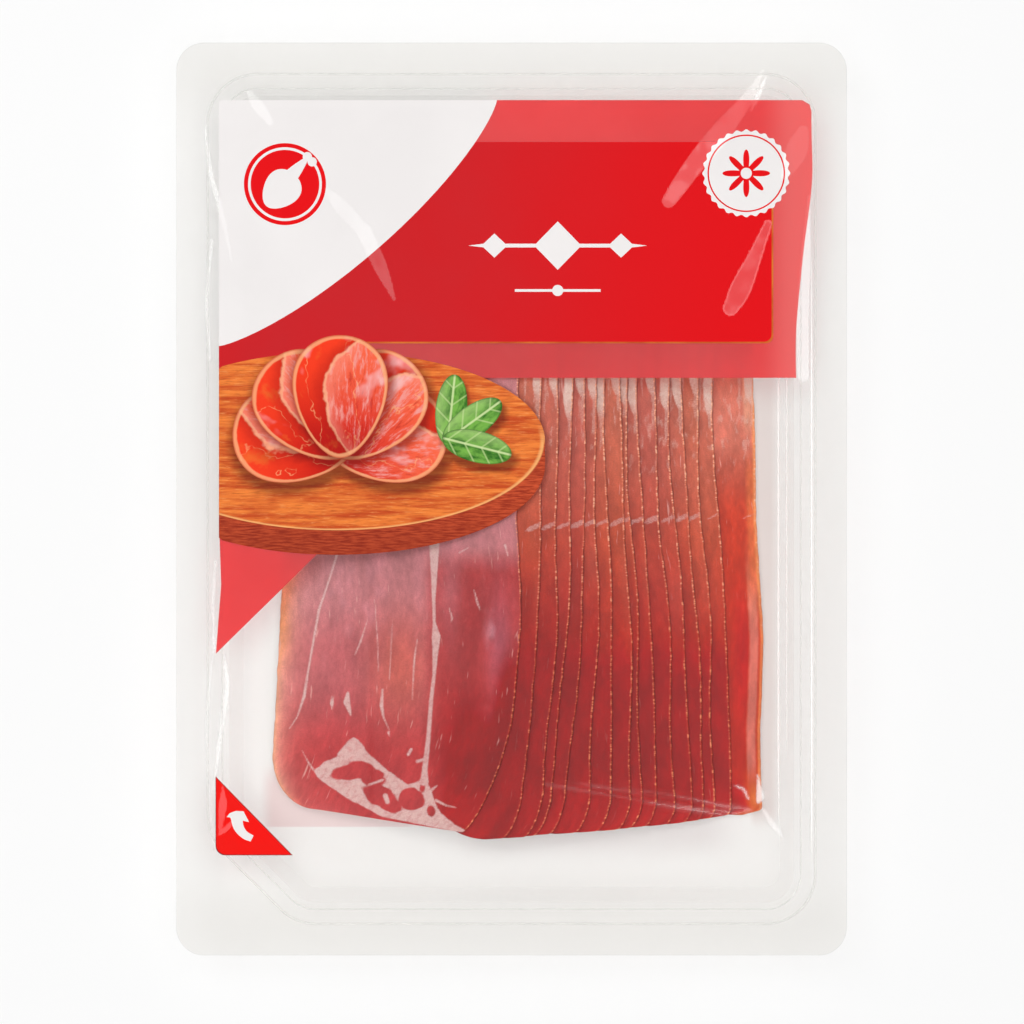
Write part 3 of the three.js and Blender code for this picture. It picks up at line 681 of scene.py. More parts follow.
def slice_shape(i):
    """Edges of slice i: its rows, and where each row starts and ends."""
    is_top = i == TOP
    share = i / (TOP - 1)
    end = TOP_END if is_top else fan_end(i)
    lowest = end if is_top else fan_end(i + 1)
    top = FAN_END - FAN_DROP * share + SLICE_L

    def ragged(y, seed):
        return 0.22 * value_noise(y / 2.6, y * 0 + i, seed + i, 4)

    def right_x(y):
        row = np.clip((30 - y) / 95, 0, 1.15) ** 1.5
        bow = 1.5 * np.exp(-(((y + 34) / 25) ** 2))
        out = 0.75 * smooth((y + 46) / 40) if i == 0 else 0.0
        return HIGH[i] + (LOW[i] - HIGH[i]) * row + bow + out + 0.3 * np.sin(y / 9 + 2.4 * i)

    def left_x(y):
        return right_x(np.float64(-40)) - SLICE_W + 0.055 * (y + 40)

    # the lower right corner sweeps in to the toe, the lower left one is the heel, and the end rises to it
    across, along = (14, 33) if is_top else (0.8 + 4.7 * share, 0.8 + 12.7 * share)
    heel_x, heel_y = (12, 14) if is_top else (40, 18)
    rise = 5.8 if is_top else 2 + 3 * share
    power = 1.35 if is_top else 1.5
    heel_at, sweep_at = end + rise + heel_y, end + along

    if is_top:
        middle = np.concatenate([np.arange(end + 10, -8, 0.4), np.arange(-8, top - 4, 2.5)])
    else:
        middle = np.concatenate([np.arange(end + 10, 36, 0.6), np.arange(36, top - 4, 4)])
    low = np.linspace(lowest + 0.02, end + 10, 36)
    rows = np.concatenate([low[:-1], middle, np.linspace(top - 4, top - 0.02, 8)])
    toe = right_x(sweep_at) - across
    under = np.maximum(sweep_at - rows, 0) / along
    swept = toe + across * np.maximum(1 - under**power, 0) ** (1 / power)
    right = np.where(rows < sweep_at, swept, right_x(rows))
    right = np.where(rows < end, toe - TOE * (end - rows) / (end - lowest + 1e-6), right) + ragged(rows, 1.3)
    heel_left = left_x(heel_at) + heel_x
    heel = heel_left - heel_x * np.sqrt(np.maximum(1 - (np.maximum(heel_at - rows, 0) / heel_y) ** 2, 0))
    left = np.where(rows < heel_at, heel, left_x(rows))
    start = toe if is_top else toe - TOE
    share_up = np.clip((rows - lowest) / (end + rise - lowest), 0, 1)
    slant = start + (heel_left - start) * share_up ** (1.0 if is_top else 0.5)
    left = np.where(rows < end + rise, slant, left) + ragged(rows, 5.7)
    rounding = 4 - np.sqrt(np.maximum(16 - np.maximum(rows - (top - 4), 0) ** 2, 0))
    return rows, left + rounding, right - rounding


slice_edges = [slice_shape(i) for i in range(TOP + 1)]


def slice_grid(i):
    """A grid over slice i, finest beside the right edge, which is the part that shows."""
    rows, left, right = slice_edges[i]
    if i == TOP:
        steps = np.concatenate([[0, 0.15, 0.4], np.arange(0.8, 64.6, 0.4), [64.8, 65.0]])
    else:
        seen = np.arange(0.55, 12.4, 0.35)
        steps = np.concatenate([[0, 0.12, 0.3], seen, np.arange(12.5, 64, 2.2), [64.6, 65]])
    x = right[:, None] - steps[None, :] / SLICE_W * (right - left)[:, None]
    y = np.repeat(rows[:, None], len(steps), 1)
    return x[:, ::-1], y[:, ::-1], right[:, None]


def upper_edge_gap(i, x, y):
    """Distance to the right of the next slice's edge, for the shade beside that edge."""
    if i == TOP:
        return np.full(x.shape, 99.0)
    rows, _, right = slice_edges[i + 1]
    return x - np.interp(y, rows, right)


def islands(x, y, ovals):
    """How far each point lies inside uneven ovals of (x, y, width, height, turn)."""
    depth = np.full(x.shape, FAR_OUT)
    for cx, cy, rx, ry, turn in ovals:
        c, s = math.cos(math.radians(turn)), math.sin(math.radians(turn))
        u, v = (x - cx) * c + (y - cy) * s, -(x - cx) * s + (y - cy) * c
        wobble = 1 + 0.16 * value_noise(x / 2.2, y / 2.2, cx, 2)
        depth = np.maximum(depth, (1 - np.hypot(u / rx, v / ry) * wobble) * min(rx, ry))
    return depth


# Fat on the top slice: loose lines of (x, y, width), the net's outline, the lean ovals in it, and two spots.
TOP_FAT = [drawn(path) for path in [
    [(434, 540, 11), (434, 570, 7), (433.5, 600, 3.5), (434, 622, 3), (436, 637, 9), (435, 655, 5.5),
     (434, 675, 3.5), (431, 700, 4), (428, 740, 4.5), (424, 775, 6)],
    [(354, 741, 4), (346, 748, 6), (338, 756, 4)],
    [(337, 552, 2.5), (326, 587, 1.8), (318, 610, 2.6), (307, 672, 2), (303, 697, 3.2), (296, 718, 1.2),
     (288, 730, 0.8)],
    [(417, 762, 3.5), (424, 760, 3)], [(347, 694, 3), (346, 703, 7), (350, 716, 2)],
    [(331, 697, 1), (331, 704, 4), (331, 710, 1)],
    [(382, 690, 2), (381, 706, 4), (383, 718, 2), (389, 731, 1)],
    [(301, 752, 0.8), (306, 762, 1.4), (312, 771, 2)], [(408, 755, 3.5), (411, 750, 3)],
    [(388, 733, 2.4), (389, 737, 1)], [(378, 672, 1), (377, 640, 1.2), (374, 600, 0.6)],
    [(367, 620, 0.6), (360, 642, 2), (354, 656, 0.8)], [(389, 680, 1), (391, 640, 1.2), (392, 624, 0.6)],
    [(412, 700, 1), (414, 660, 2), (417, 640, 1)], [(474, 590, 1), (477, 602, 2.4), (480, 610, 1)],
    [(449, 608, 0.8), (452, 618, 2), (451, 622, 1)], [(459, 553, 1.4), (468, 548, 1)],
    [(505, 545, 2.4), (508, 556, 1.2)], [(436, 801, 3), (446, 806, 2), (456, 808, 0.8)],
    [(425, 768, 4), (424, 782, 9)], [(432, 790, 3), (437, 786, 1)],
    [(391, 786, 3), (384, 777, 2)],
]]
TOP_NET = drawn([
    (353, 738), (361, 744), (368, 754), (380, 765), (394, 776), (408, 785), (420, 781), (428, 783),
    (431, 790), (435, 803), (441, 813), (455, 825), (474, 837), (458, 834), (440, 829), (420, 825),
    (398, 821), (380, 817), (364, 809), (345, 799), (330, 789), (316, 778), (313, 772), (322, 764),
    (334, 759), (342, 752), (345, 744),
])
TOP_LEAN = [
    (*at(347, 774), 4.2, 2.0, 8), (*at(362, 771), 4.2, 2.3, -14), (*at(373, 779), 3.4, 2.4, -14),
    (*at(379, 797), 4.5, 2.8, -22), (*at(390, 806), 3.2, 1.9, -14), (*at(411, 800), 3.6, 3.0, -6),
    (*at(422, 789), 0.7, 1.1, 0), (*at(431, 812), 1.1, 1.5, 10),
]
TOP_SPOTS = [drawn([(385, 797, 5.5), (387, 803, 4.5)]), drawn([(368, 786, 2), (382, 781, 2.6)])]


def polygon_depth(x, y, polygon):
    """How far each point lies inside a closed outline, below 0 outside it."""
    closed = polygon + polygon[:1]
    border = -strokes(x, y, [[(*p, 0.0) for p in closed]])
    hit = inside(np.column_stack([x.ravel(), y.ravel()]), np.array(polygon)).reshape(x.shape)
    return np.where(hit, border, -border)


def patch(x, y, cx, cy, rx, ry):
    """A soft round patch, 1 in its middle."""
    return np.exp(-(((x - cx) / rx) ** 2) - ((y - cy) / ry) ** 2)


def rises(y, start, width):
    """0 below start, and 1 above the end of a soft step of the given width."""
    return smooth((y - start) / width)


def falls(y, start, width):
    """1 far below start, and 0 above it, with a soft step of the given width."""
    return smooth((start - y) / width)


def painted(colour, layers):
    """Screen colours laid over one another, each with its share at every point."""
    for tone, share in layers:
        colour = colour + (np.asarray(tone, float) - colour) * np.asarray(share)[..., None]
    return colour


def top_colour(x, y, d):
    """The top slice's lean meat: pale high up, partly a painted veil of the film's reflection, dark red low
    down, and golden at its left rim.
    """
    milky = value_noise(x / 3.2, y / 7, 8.8, 3) - 0.05
    from_left = np.maximum(d[:, :1] - d, 0)
    golden = np.clip(0.75 + 0.5 * value_noise(x / 1.6, y / 5, 3.3, 3), 0, 1) * rises(y, -52, 18)
    low_rim = np.exp(-np.maximum(y + 84.5 - 0.06 * (x + 55), 0) / 2.0) * falls(x, -40, 15)
    return painted(np.broadcast_to([194.0, 126.0, 130.0], (*x.shape, 3)), [
        ([190, 102, 106], falls(y, -24, 20)),
        ([188, 66, 68], falls(y, -46, 24)),
        ([208, 108, 94], 0.8 * patch(x, y, -30, -46, 8, 14)),
        ([176, 62, 62], 0.95 * rises(x, -25, 7) * falls(y, -12, 9)),
        ([158, 14, 18], 0.95 * rises(x, -24, 14) * falls(y, -44, 26)),
        ([196, 122, 130], 0.6 * patch(x, y, -16.5, -24, 3.4, 15)),
        ([190, 100, 114], 0.85 * patch(x, y, -3.2, -40, 3.6, 16)),
        ([214, 158, 170], np.clip(1.6 * milky, 0, 0.75) * patch(x, y, -3.6, -38, 4.2, 15)),
        # painted veil of the film's reflection over the upper left
        ([206, 140, 148], np.clip(1.2 * milky, 0, 0.6) * patch(x, y, -42, -26, 16, 14)),
        ([162, 54, 56], 0.3 * patch(x, y, -11, -33, 3.5, 9)),
        ([156, 4, 6], 0.95 * falls(d, 7.5, 6) * falls(y, -36, 16)),
        ([180, 20, 20], 0.8 * falls(y, -76, 5) * rises(x, -20, 6)),
        ([238, 176, 160], 0.8 * np.exp(-from_left / 4.0) * rises(y, -86, 10)),
        ([248, 184, 140], 0.7 * np.exp(-from_left / 1.2) * rises(y, -88, 10)),
        ([244, 156, 108], 0.85 * golden * np.exp(-((from_left / 3.4) ** 2))),
        ([214, 110, 108], 0.6 * low_rim),
    ])


BAND_STOPS = [-92, -84, -72, -52, -30, -12, 6, 20, 33]
BAND_TONES = [
    (184, 22, 12), (180, 14, 8), (168, 12, 8), (166, 20, 15), (186, 58, 44),
    (194, 82, 56), (198, 104, 80), (198, 112, 90), (204, 116, 94),
]


def band_colour(i, y, d):
    """Lean meat on the bands of the slices below the top one, where d is the way in from the edge."""
    colour = np.stack([np.interp(y, BAND_STOPS, tones) for tones in zip(*BAND_TONES)], -1)
    seed = 1.37 * i
    tint = 0.5 + 0.5 * math.sin(seed * 5.3)
    upper = rises(y, -56, 40)
    wide = value_noise(d / 4.0, y / 22, seed, 2)
    layers = [
        ([205, 96, 70], 0.22 * tint * upper),
        ([176, 62, 74], 0.25 * (1 - tint) * upper),
        ([158, 40, 42], 0.45 * rises(i, 9, 5) * falls(y, -12, 25)),
        ([206, 112, 100], np.clip(0.3 * wide, 0, 0.3) * upper),
        ([146, 34, 34], np.clip(-0.4 * wide, 0, 0.4) * falls(y, 10, 40)),
    ]
    if i == 0:
        low_rim = falls(y, -22, 8) * rises(y, -80, 10)
        layers += [
            ([230, 132, 112], 0.7 * rises(y, 8, 10)),
            ([202, 60, 38], 0.8 * falls(y, 14, 22) * rises(y, -84, 10)),
            ([198, 38, 28], 0.8 * patch(d, y, 5.5, -42, 3.0, 17)),
            ([230, 132, 70], 0.85 * patch(d, y, 2.0, -81, 2.4, 6)),
            ([220, 128, 114], 0.85 * falls(d, 4.1, 0.7) * rises(d, 0.9, 0.8) * low_rim),
            ([238, 152, 116], 0.55 * falls(d, 4.1, 1.0) * np.exp(-(((y + 23) / 8) ** 2))),
            ([240, 172, 142], 0.7 * falls(d, 3.6, 1.2) * rises(d, 0.7, 0.7) * rises(y, 15, 8)),
            ([226, 118, 70], 0.75 * falls(d, 3.4, 1.6) * rises(y, -26, 10) * falls(y, 14, 10)),
            # the golden cut edge, partly its own colour and partly painted highlight where it catches light
            ([242, 160, 94], 0.85 * falls(d, 1.2, 0.9)),
        ]
    return painted(colour, layers)


def strip_fat(i, y, d):
    """Depth in mm inside the white fat on the band of a slice that shows, below 0 outside it."""
    seed = float(i * 3.7)
    reach = 27.5 - 6.5 * (0.5 + 0.5 * math.sin(seed * 2.3)) ** 1.5
    # a patch along the edge that runs out to a point, and thin streaks beside it
    wide = 1.15 + 1.4 * (0.5 + 0.5 * math.cos(seed * 1.7)) ** 1.6
    ragged = 0.35 * value_noise(y / 2.6, d * 0 + seed, seed, 3)
    taper = np.clip((y - reach) / 5.0, 0, 1) ** 0.36
    edge_patch = np.minimum.reduce([(wide + ragged) * taper - d, d - 0.08, (y - reach) * 0.05])
    streak = 0.3 + 0.2 * value_noise(y / 3, d * 0, seed + 9, 2) - np.abs(d - 0.75 - 0.02 * (reach - y))
    streak = np.minimum(np.minimum(streak, (y - reach + 5 + 3 * math.sin(seed * 3.1)) * 0.2), 0.1)
    second = 0.42 * np.sqrt(np.clip((y - reach - 1.5) / 7, 0, 1)) - np.abs(d - 3.8 - 0.6 * math.sin(seed))
    # the vein that crosses all slices at one height
    vein_y = -6.9 + 0.21 * (TOP - i) - 0.42 * d + 0.2 * value_noise(d / 1.6, y * 0 + seed, seed, 2)
    thick = 0.62 + 0.14 * math.sin(seed * 1.1 + 0.4) + 0.12 * value_noise(d / 0.9, y / 3, seed + 2, 1)
    vein = thick - np.abs(y - vein_y) - np.clip(d - 3.2, 0, 3) * 0.6 - 0.16 * max(3 - i, 0)
    # small flecks high up
    more = 0.12 * smooth((13 - np.abs(y - 20)) / 8)
    flecks = 0.5 * value_noise(d / 1.0 + seed, y / 2.8, seed + 4, 3) - 0.4 + more
    flecks = np.where((y > 2) & (y < 34), flecks, -1.0)
    loose = [np.where(y < reach + 2, streak, -1.0), np.where(y > reach, second, -1.0), flecks]
    loose = np.minimum(np.maximum.reduce(loose), -0.02)
    return np.maximum.reduce([edge_patch, loose, np.minimum(vein, 0.03)])


def top_fat(x, y):
    ragged = 0.25 * value_noise(x / 1.5, y / 1.5, 4.4, 2)
    net = np.minimum(polygon_depth(x, y, TOP_NET) + ragged, -islands(x, y, TOP_LEAN))
    return np.maximum.reduce([strokes(x, y, TOP_FAT), net, strokes(x, y, TOP_SPOTS)])


def ham_material():
    mat = material("dry_cured_ham")
    n = Nodes(mat)
    where = n.attribute("ham_at", "Vector")
    fat, rim, shade = n.attribute("fat"), n.attribute("rim"), n.attribute("shade")
    _, high, seed = n.split(where)
    along = n.stretched(where, 1.0, 0.42)
    broad = n.noise(0.22, 3.0, 0.55, along)
    grain = n.noise(0.85, 4.0, 0.6, along)
    fine = n.noise(3.4, 4.0, 0.75, where)

    # lean meat with its grain, pale haze and thin threads of fat
    tone = n.times(
        n.span(grain, 0.25, 0.75, 0.9, 1.1), n.span(fine, 0.25, 0.75, 0.86, 1.15),
        n.span(broad, 0.3, 0.7, 0.86, 1.14),
    )
    lean = {"Vector": n.attribute("lean", "Color"), "Scale": tone}
    colour = n.add("ShaderNodeVectorMath", lean, operation="SCALE").outputs[0]
    pale = n.times(
        n.span(grain, 0.58, 0.8), n.span(fine, 0.4, 0.65, 0.02, 0.2), n.span(high, -60.0, -14.0, 0.06, 1.0)
    )
    threads = n.noise(0.6, 2.0, 0.5, n.stretched(where, 2.2, 0.24))
    on_top = n.times(n.span(seed, 110.0, 114.0), 0.5)
    thread_share = n.math("MAXIMUM", on_top, n.span(high, -30.0, 6.0, 0.08, 0.6))
    thread_share = n.times(n.span(threads, 0.67, 0.77), thread_share)
    colour = n.painted(colour, (pale, (222, 156, 148)), (thread_share, (228, 180, 170)))

    # white fat
    edge_fat = n.math("ADD", fat, n.math("MULTIPLY_ADD", fine, 0.5, -0.25))
    mottle = n.span(fine, 0.3, 0.7)
    fat_low = n.between(mottle, (204, 169, 164), (224, 195, 190))
    fat_high = n.between(mottle, (216, 188, 176), (234, 212, 200))
    thin = n.span(n.noise(0.7, 3.0, 0.6, where), 0.3, 0.6, 0.7, 1.0)
    cover = n.times(n.span(edge_fat, -0.22, 0.3, 0.0, 0.95), thin)
    colour = n.mix(cover, colour, n.mix(n.span(high, 0.0, 16.0), fat_low, fat_high))

    # a painted shadow line beside the slice above, and a pale cut edge, partly its own colour and partly
    # painted highlight where it catches light
    broken = n.noise(0.5, 2.0, 0.6, n.stretched(where, 0.2, 1.0))
    line = n.times(n.span(shade, 0.5, 0.1), n.span(broken, 0.35, 0.65, 0.05, 0.42))
    # a fainter, wider painted shade beside the slice above
    dark = n.math("ADD", line, n.span(shade, 2.2, 0.0, 0.0, 0.2))
    colour = n.painted(colour, (dark, (96, 10, 10)))
    # the pale cut edge: its own orange colour, with painted glints where the edge catches light
    dots = n.noise(1.15, 2.0, 0.8, n.stretched(where, 0.3, 1.0))
    glint_dot = n.span(dots, 0.5, 0.66)
    low_tone = n.between(glint_dot, (190, 72, 46), (238, 144, 100))
    high_tone = n.between(glint_dot, (226, 134, 100), (248, 196, 164))
    cut_tone = n.mix(n.span(high, -50.0, 10.0), low_tone, high_tone)
    cut = n.times(n.span(rim, 0.66, 0.32), n.span(dots, 0.44, 0.6, 0.24, 0.95))
    colour = n.mix(cut, colour, cut_tone)

    relief = {"Strength": 0.3, "Distance": 0.0003, "Height": n.math("ADD", grain, fine)}
    skin = n.add("ShaderNodeBsdfPrincipled", {
        "Base Color": colour,
        "Roughness": n.span(fine, 0.2, 0.8, 0.36, 0.55),
        "Normal": n.add("ShaderNodeBump", relief),
    })
    skin.inputs["Specular IOR Level"].default_value = 0.25
    n.output(skin)
    return mat


GLOSS_LOSS, GLOSS_SCALE, DARKEST = 0.018, 1.05, 0.003
ham = ham_material()
for i in range(TOP + 1):
    x, y, right = slice_grid(i)
    d = right - x
    bottom = i * PITCH + fan_base(x, y)
    curl = 0.12 * np.exp(-d / 1.2) if i < TOP else 0.2 * np.exp(-d / 2.0)
    ripple = 0.03 * value_noise(x / 5, y / 7, 2.2, 2)
    obj, inner = closed_sheet(f"ham_slice_{i + 1:02d}", x, y, bottom + SLICE + curl + ripple, bottom)
    # the gloss adds some light to what is seen, so the meat itself is that much darker
    seen = linear(top_colour(x, y, d) if i == TOP else band_colour(i, y, d))
    lean = np.maximum((seen - GLOSS_LOSS) / GLOSS_SCALE, DARKEST)
    lean = np.concatenate([lean, np.ones((*x.shape, 1))], -1)
    where = np.stack([d, y, np.full(x.shape, i * 7.7)], -1)
    attribute(obj, "lean", both(lean, inner), "FLOAT_COLOR")
    attribute(obj, "fat", both(top_fat(x, y) if i == TOP else strip_fat(i, y, d), inner))
    attribute(obj, "rim", both(d, inner))
    attribute(obj, "shade", both(upper_edge_gap(i, x, y), inner))
    attribute(obj, "ham_at", both(where, inner), "FLOAT_VECTOR")
    obj.data.materials.append(ham)
    belongs(obj, "ham", f"slice_{i + 1:02d}")

# ---------------------------------------------------------------- print

PRINT_LEFT, PRINT_RIGHT, PRINT_TOP, BAND_END, WAIST = -78.5, 80.6, 107.0, 32.5, 4.2
WHITE_REACH, WHITE_DROP, WHITE_FULL = 74.6, 66.0, 1.3
PANEL_RIGHT, PANEL_TOP, PANEL_END, PANEL_R = 69.8, 95.8, 42.2, 2.0
BADGE, BADGE_R, BADGE_WAVES = (63.0, 87.4), 12.1, 28
EMBLEM, EMBLEM_R = (-60.8, 84.5), 11.0
ORNAMENT = (12.4, 68.0, 48.0, 13.0)
BOARD = (-47.0, 15.5, 56.0, 24.0, 6.5)
ROSETTE = (-46.0, 15.0)
PETALS, PETAL_L, PETAL_W, PETAL_FULL = 5, 33.0, 25.0, 0.25
SPRIG = (-17.0, 16.0)
LEAF_L, LEAF_W, LEAF_TURNS = 19.0, 8.5, (84, 36, -14)
PEEL = (-79.4, -95.6, 20.7, 21.2, 2.6)


def corner(x, y, across, along, start, power, steps):
    """A quarter turn of a rounded corner, squarer or more hollow as power says."""
    angles = np.radians(np.linspace(start, start + 90, steps + 1))
    c, s = np.cos(angles), np.sin(angles)
    return np.column_stack([
        x + across * np.sign(c) * np.abs(c) ** (2 / power),
        y + along * np.sign(s) * np.abs(s) ** (2 / power),
    ])


def ring(centre, distance, count):
    """A closed outline. distance is a number, or a function of the angle in degrees."""
    points = []
    for k in range(count):
        degrees = 360 * k / count
        points.append(polar(*centre, distance(degrees) if callable(distance) else distance, degrees))
    return np.array(points)


def wavy(radius, wave, count):
    return lambda degrees: radius + wave * math.cos(math.radians(count * degrees))


def petal(centre, degrees, length, width, fullness, count):
    """A long oval from its foot outwards, fuller at its far end by fullness."""
    ahead, aside = polar(0, 0, 1, degrees), polar(0, 0, 1, degrees + 90)
    points = []
    for k in range(count):
        c, s = polar(0, 0, 1, 360 * k / count)
        out = (length / 2) * (c + 1) * ahead
        points.append(np.array(centre) + out + (width / 2) * s * (1 + fullness * c) * aside)
    return np.array(points)


def white_shape():
    bend = corner(PRINT_LEFT, PRINT_TOP, WHITE_REACH, WHITE_DROP, 270, WHITE_FULL, 40)
    return np.concatenate([[[PRINT_LEFT, PRINT_TOP]], bend])


def red_shape():
    side_y = np.linspace(BAND_END, PRINT_TOP - 3, 30)
    side_x = PRINT_RIGHT - WAIST * smooth((90 - side_y) / 46) - 0.15 * np.sin(side_y / 5)
    return np.concatenate([
        [[PRINT_LEFT, BAND_END]], np.column_stack([side_x, side_y]),
        [[PRINT_RIGHT - 0.6, PRINT_TOP - 1.2], [PRINT_RIGHT - 2.6, PRINT_TOP], [PRINT_LEFT, PRINT_TOP]],
    ])


def panel_shape(grow=0.0):
    right, bottom = PANEL_RIGHT + grow, PANEL_END - grow
    bend = corner(right - PANEL_R, bottom + PANEL_R, PANEL_R, PANEL_R, 270, 2, 10)
    return np.concatenate([
        [[PRINT_LEFT, BAND_END], [ROSETTE[0], BAND_END], [ROSETTE[0], bottom]], bend,
        [[right, PANEL_TOP], [PRINT_LEFT, PANEL_TOP]],
    ])


def ornament_shape():
    """Three diamonds on a line that runs out to a point at both ends."""
    x0, y0, length, height = ORNAMENT
    upper = [(-length / 2, 0)]
    for place, share in ((-17, 0.5), (0, 1), (17, 0.5)):
        high = height / 2 * share
        upper += [(place - high * 0.9, 0.5), (place, high), (place + high * 0.9, 0.5)]
    upper.append((length / 2, 0))
    lower = [(x, -y) for x, y in upper[1:-1]][::-1]
    return np.array([(x0 + x, y0 + y) for x, y in upper + lower])


def board_shape():
    """An oval with its near side below it."""
    x0, y0, across, along, side = BOARD
    angles = np.radians(np.arange(0, 360, 3))
    oval = np.column_stack([x0 + across * np.cos(angles), y0 + along * np.sin(angles)])
    low = oval - [0, side]
    return np.concatenate([oval[:61], low[60:], low[:1]])


def petal_axis(k):
    """Where petal k of the rosette starts, and the way it points."""
    degrees = 8 + 164 * k / (PETALS - 1)
    return polar(*ROSETTE, -4, degrees), degrees


def leaf_axis(k):
    return polar(*SPRIG, -1.5, LEAF_TURNS[k]), LEAF_TURNS[k]


def peel_shape(inset=0.0):
    x, y, across, along, radius = PEEL
    x, y, across, along = x + inset, y + inset, across - 3.4 * inset, along - 3.4 * inset
    bend = corner(x + radius, y + radius, radius, radius, 180, 2, 10)
    return np.concatenate([bend, [[x + across, y], [x, y + along]]])


def arrow_shape():
    """A bent arrow: a squat head at the top and a shaft that curves away to the right."""
    head = [(3.0, 10.3), (3.8, 11.3), (5.4, 11.9), (7.5, 11.8), (9.0, 8.9)]
    right_side = eased([(7.3, 9.3, 1), (7.5, 7.9, 1), (8.4, 6.4, 1), (10.2, 5.3, 1)], 12)[:, :2]
    left_side = eased([(9.4, 3.7, 1), (7.2, 4.6, 1), (5.0, 6.9, 1), (4.0, 10.1, 1)], 14)[:, :2]
    return np.concatenate([head, right_side, left_side]) + np.array(PEEL[:2])


def low_red_shape():
    return np.array([
        [PRINT_LEFT, -5], [PRINT_LEFT + 0.6, -23], [PRINT_LEFT - 0.8, -41.5],
        [PRINT_LEFT + 16, -25], [-42.4, -5],
    ])


def window(polygon):
    """The polygon with its points moved in to the print's left edge."""
    return np.column_stack([np.maximum(polygon[:, 0], PRINT_LEFT), polygon[:, 1]])


def dense(polygon, step):
    """The polygon with more points along its sides."""
    points = []
    for a, b in zip(polygon, np.roll(polygon, -1, 0)):
        count = max(1, int(np.hypot(*(b - a)) / step))
        points += [a + (b - a) * t for t in np.arange(count) / count]
    return np.array(points)


def beside_emblem(x, y):
    return EMBLEM[0] + x, EMBLEM[1] + y


# The fields of the print, from the lowest to the one on top: name, outline, solids' node, slot.
WHITE, DEEP_RED = "white_print", "deep_red_print"
FIELDS = [
    ("red_field", red_shape(), "print_red_field", "red_print"),
    ("panel_line", panel_shape(0.45), None, "board_print"),
    ("red_panel", panel_shape(), "print_red_panel", DEEP_RED),
    ("white_corner", white_shape(), "print_white_corner", WHITE),
    ("badge", ring(BADGE, wavy(BADGE_R - 0.6, 0.3, BADGE_WAVES), BADGE_WAVES * 8), "print_badge", WHITE),
    ("badge_ring", ring(BADGE, 10.4, 96), None, DEEP_RED),
    ("badge_inside", ring(BADGE, 10.0, 96), None, WHITE),
    ("badge_star", ring(BADGE, wavy(4.2, 2.2, 8), 160), None, DEEP_RED),
    ("badge_heart", ring(BADGE, 1.5, 30), None, WHITE),
    ("emblem", ring(EMBLEM, EMBLEM_R, 96), "print_emblem", DEEP_RED),
    ("emblem_ring", ring(EMBLEM, EMBLEM_R - 1.1, 96), None, WHITE),
    ("emblem_disc", ring(EMBLEM, EMBLEM_R - 1.8, 96), None, DEEP_RED),
    ("emblem_ham", petal(beside_emblem(2.6, 2.6), 228, 11.4, 9.6, -0.25, 50), None, WHITE),
    ("emblem_shank", petal(beside_emblem(-2.0, -1.8), 48, 12.4, 3.6, -0.5, 40), None, WHITE),
    ("emblem_bone", ring(beside_emblem(6.0, 7.4), 1.25, 24), None, WHITE),
    ("emblem_joint", ring(beside_emblem(7.3, 6.0), 1.25, 24), None, WHITE),
    ("ornament", ornament_shape(), "print_ornament", WHITE),
    ("ornament_line", np.array([[0.9, 55.6], [23.9, 55.6], [23.9, 56.3], [0.9, 56.3]]), None, WHITE),
    ("ornament_dot", ring((12.4, 55.95), 1.5, 30), None, WHITE),
    ("low_red", low_red_shape(), "print_low_red", "red_print"),
    ("board", window(board_shape()), "picture_board", "board_print"),
]
for k in (0, 4, 1, 3, 2):
    shape = window(petal(*petal_axis(k), PETAL_L, PETAL_W, PETAL_FULL, 60))
    FIELDS.append((f"petal_{k + 1}", shape, "picture_ham" if k == 0 else None, "ham_print"))
for k in range(3):
    shape = petal(*leaf_axis(k), LEAF_L, LEAF_W, 0, 44)
    FIELDS.append((f"leaf_{k + 1}", shape, "picture_leaves" if k == 0 else None, "leaf_print"))
FIELDS += [
    ("peel_sign", peel_shape(), "print_peel_sign", DEEP_RED),
    ("peel_face", peel_shape(0.2), None, DEEP_RED),
    ("peel_arrow", arrow_shape(), None, WHITE),
]


def print_meshes():
    """One fine net of triangles under the whole print, cut along every field's outline, then shared out."""
    grid = scatter_points((PRINT_LEFT, PEEL[1]), (PRINT_RIGHT, PRINT_TOP), 1.5, 0.5)
    covered = np.zeros(len(grid), bool)
    for _, polygon, _, _ in FIELDS:
        covered |= inside(grid, polygon)
    points, triangles = triangle_net([dense(polygon, 0.8) for _, polygon, _, _ in FIELDS], grid[covered])
    middle = points[triangles].mean(1)
    owner = np.full(len(triangles), -1)
    for k, (_, polygon, _, _) in enumerate(FIELDS):
        owner[inside(middle, polygon)] = k
    return points, triangles, owner


def petal_space(centre, degrees, length, width, fullness, seed):
    """Along a petal from -1 to 1, across it as a share of its half width, and a seed."""
    (x, y), (c, s) = centre, polar(0, 0, 1, degrees)

    def space(px, py):
        along = ((px - x) * c + (py - y) * s) / (length / 2) - 1
        across = (-(px - x) * s + (py - y) * c) / (width / 2) / (1 + fullness * np.clip(along, -1, 1))
        return np.column_stack([along, across, np.full(len(px), seed)])
    return space


def board_space(x, y):
    return np.column_stack([(x - BOARD[0]) / BOARD[2], (y - BOARD[1]) / BOARD[3], 0 * x])


LOCAL = {"board": board_space}
for k in range(PETALS):
    LOCAL[f"petal_{k + 1}"] = petal_space(*petal_axis(k), PETAL_L, PETAL_W, PETAL_FULL, 2.3 * k)
for k in range(3):
    LOCAL[f"leaf_{k + 1}"] = petal_space(*leaf_axis(k), LEAF_L, LEAF_W, 0, 1.9 * k)

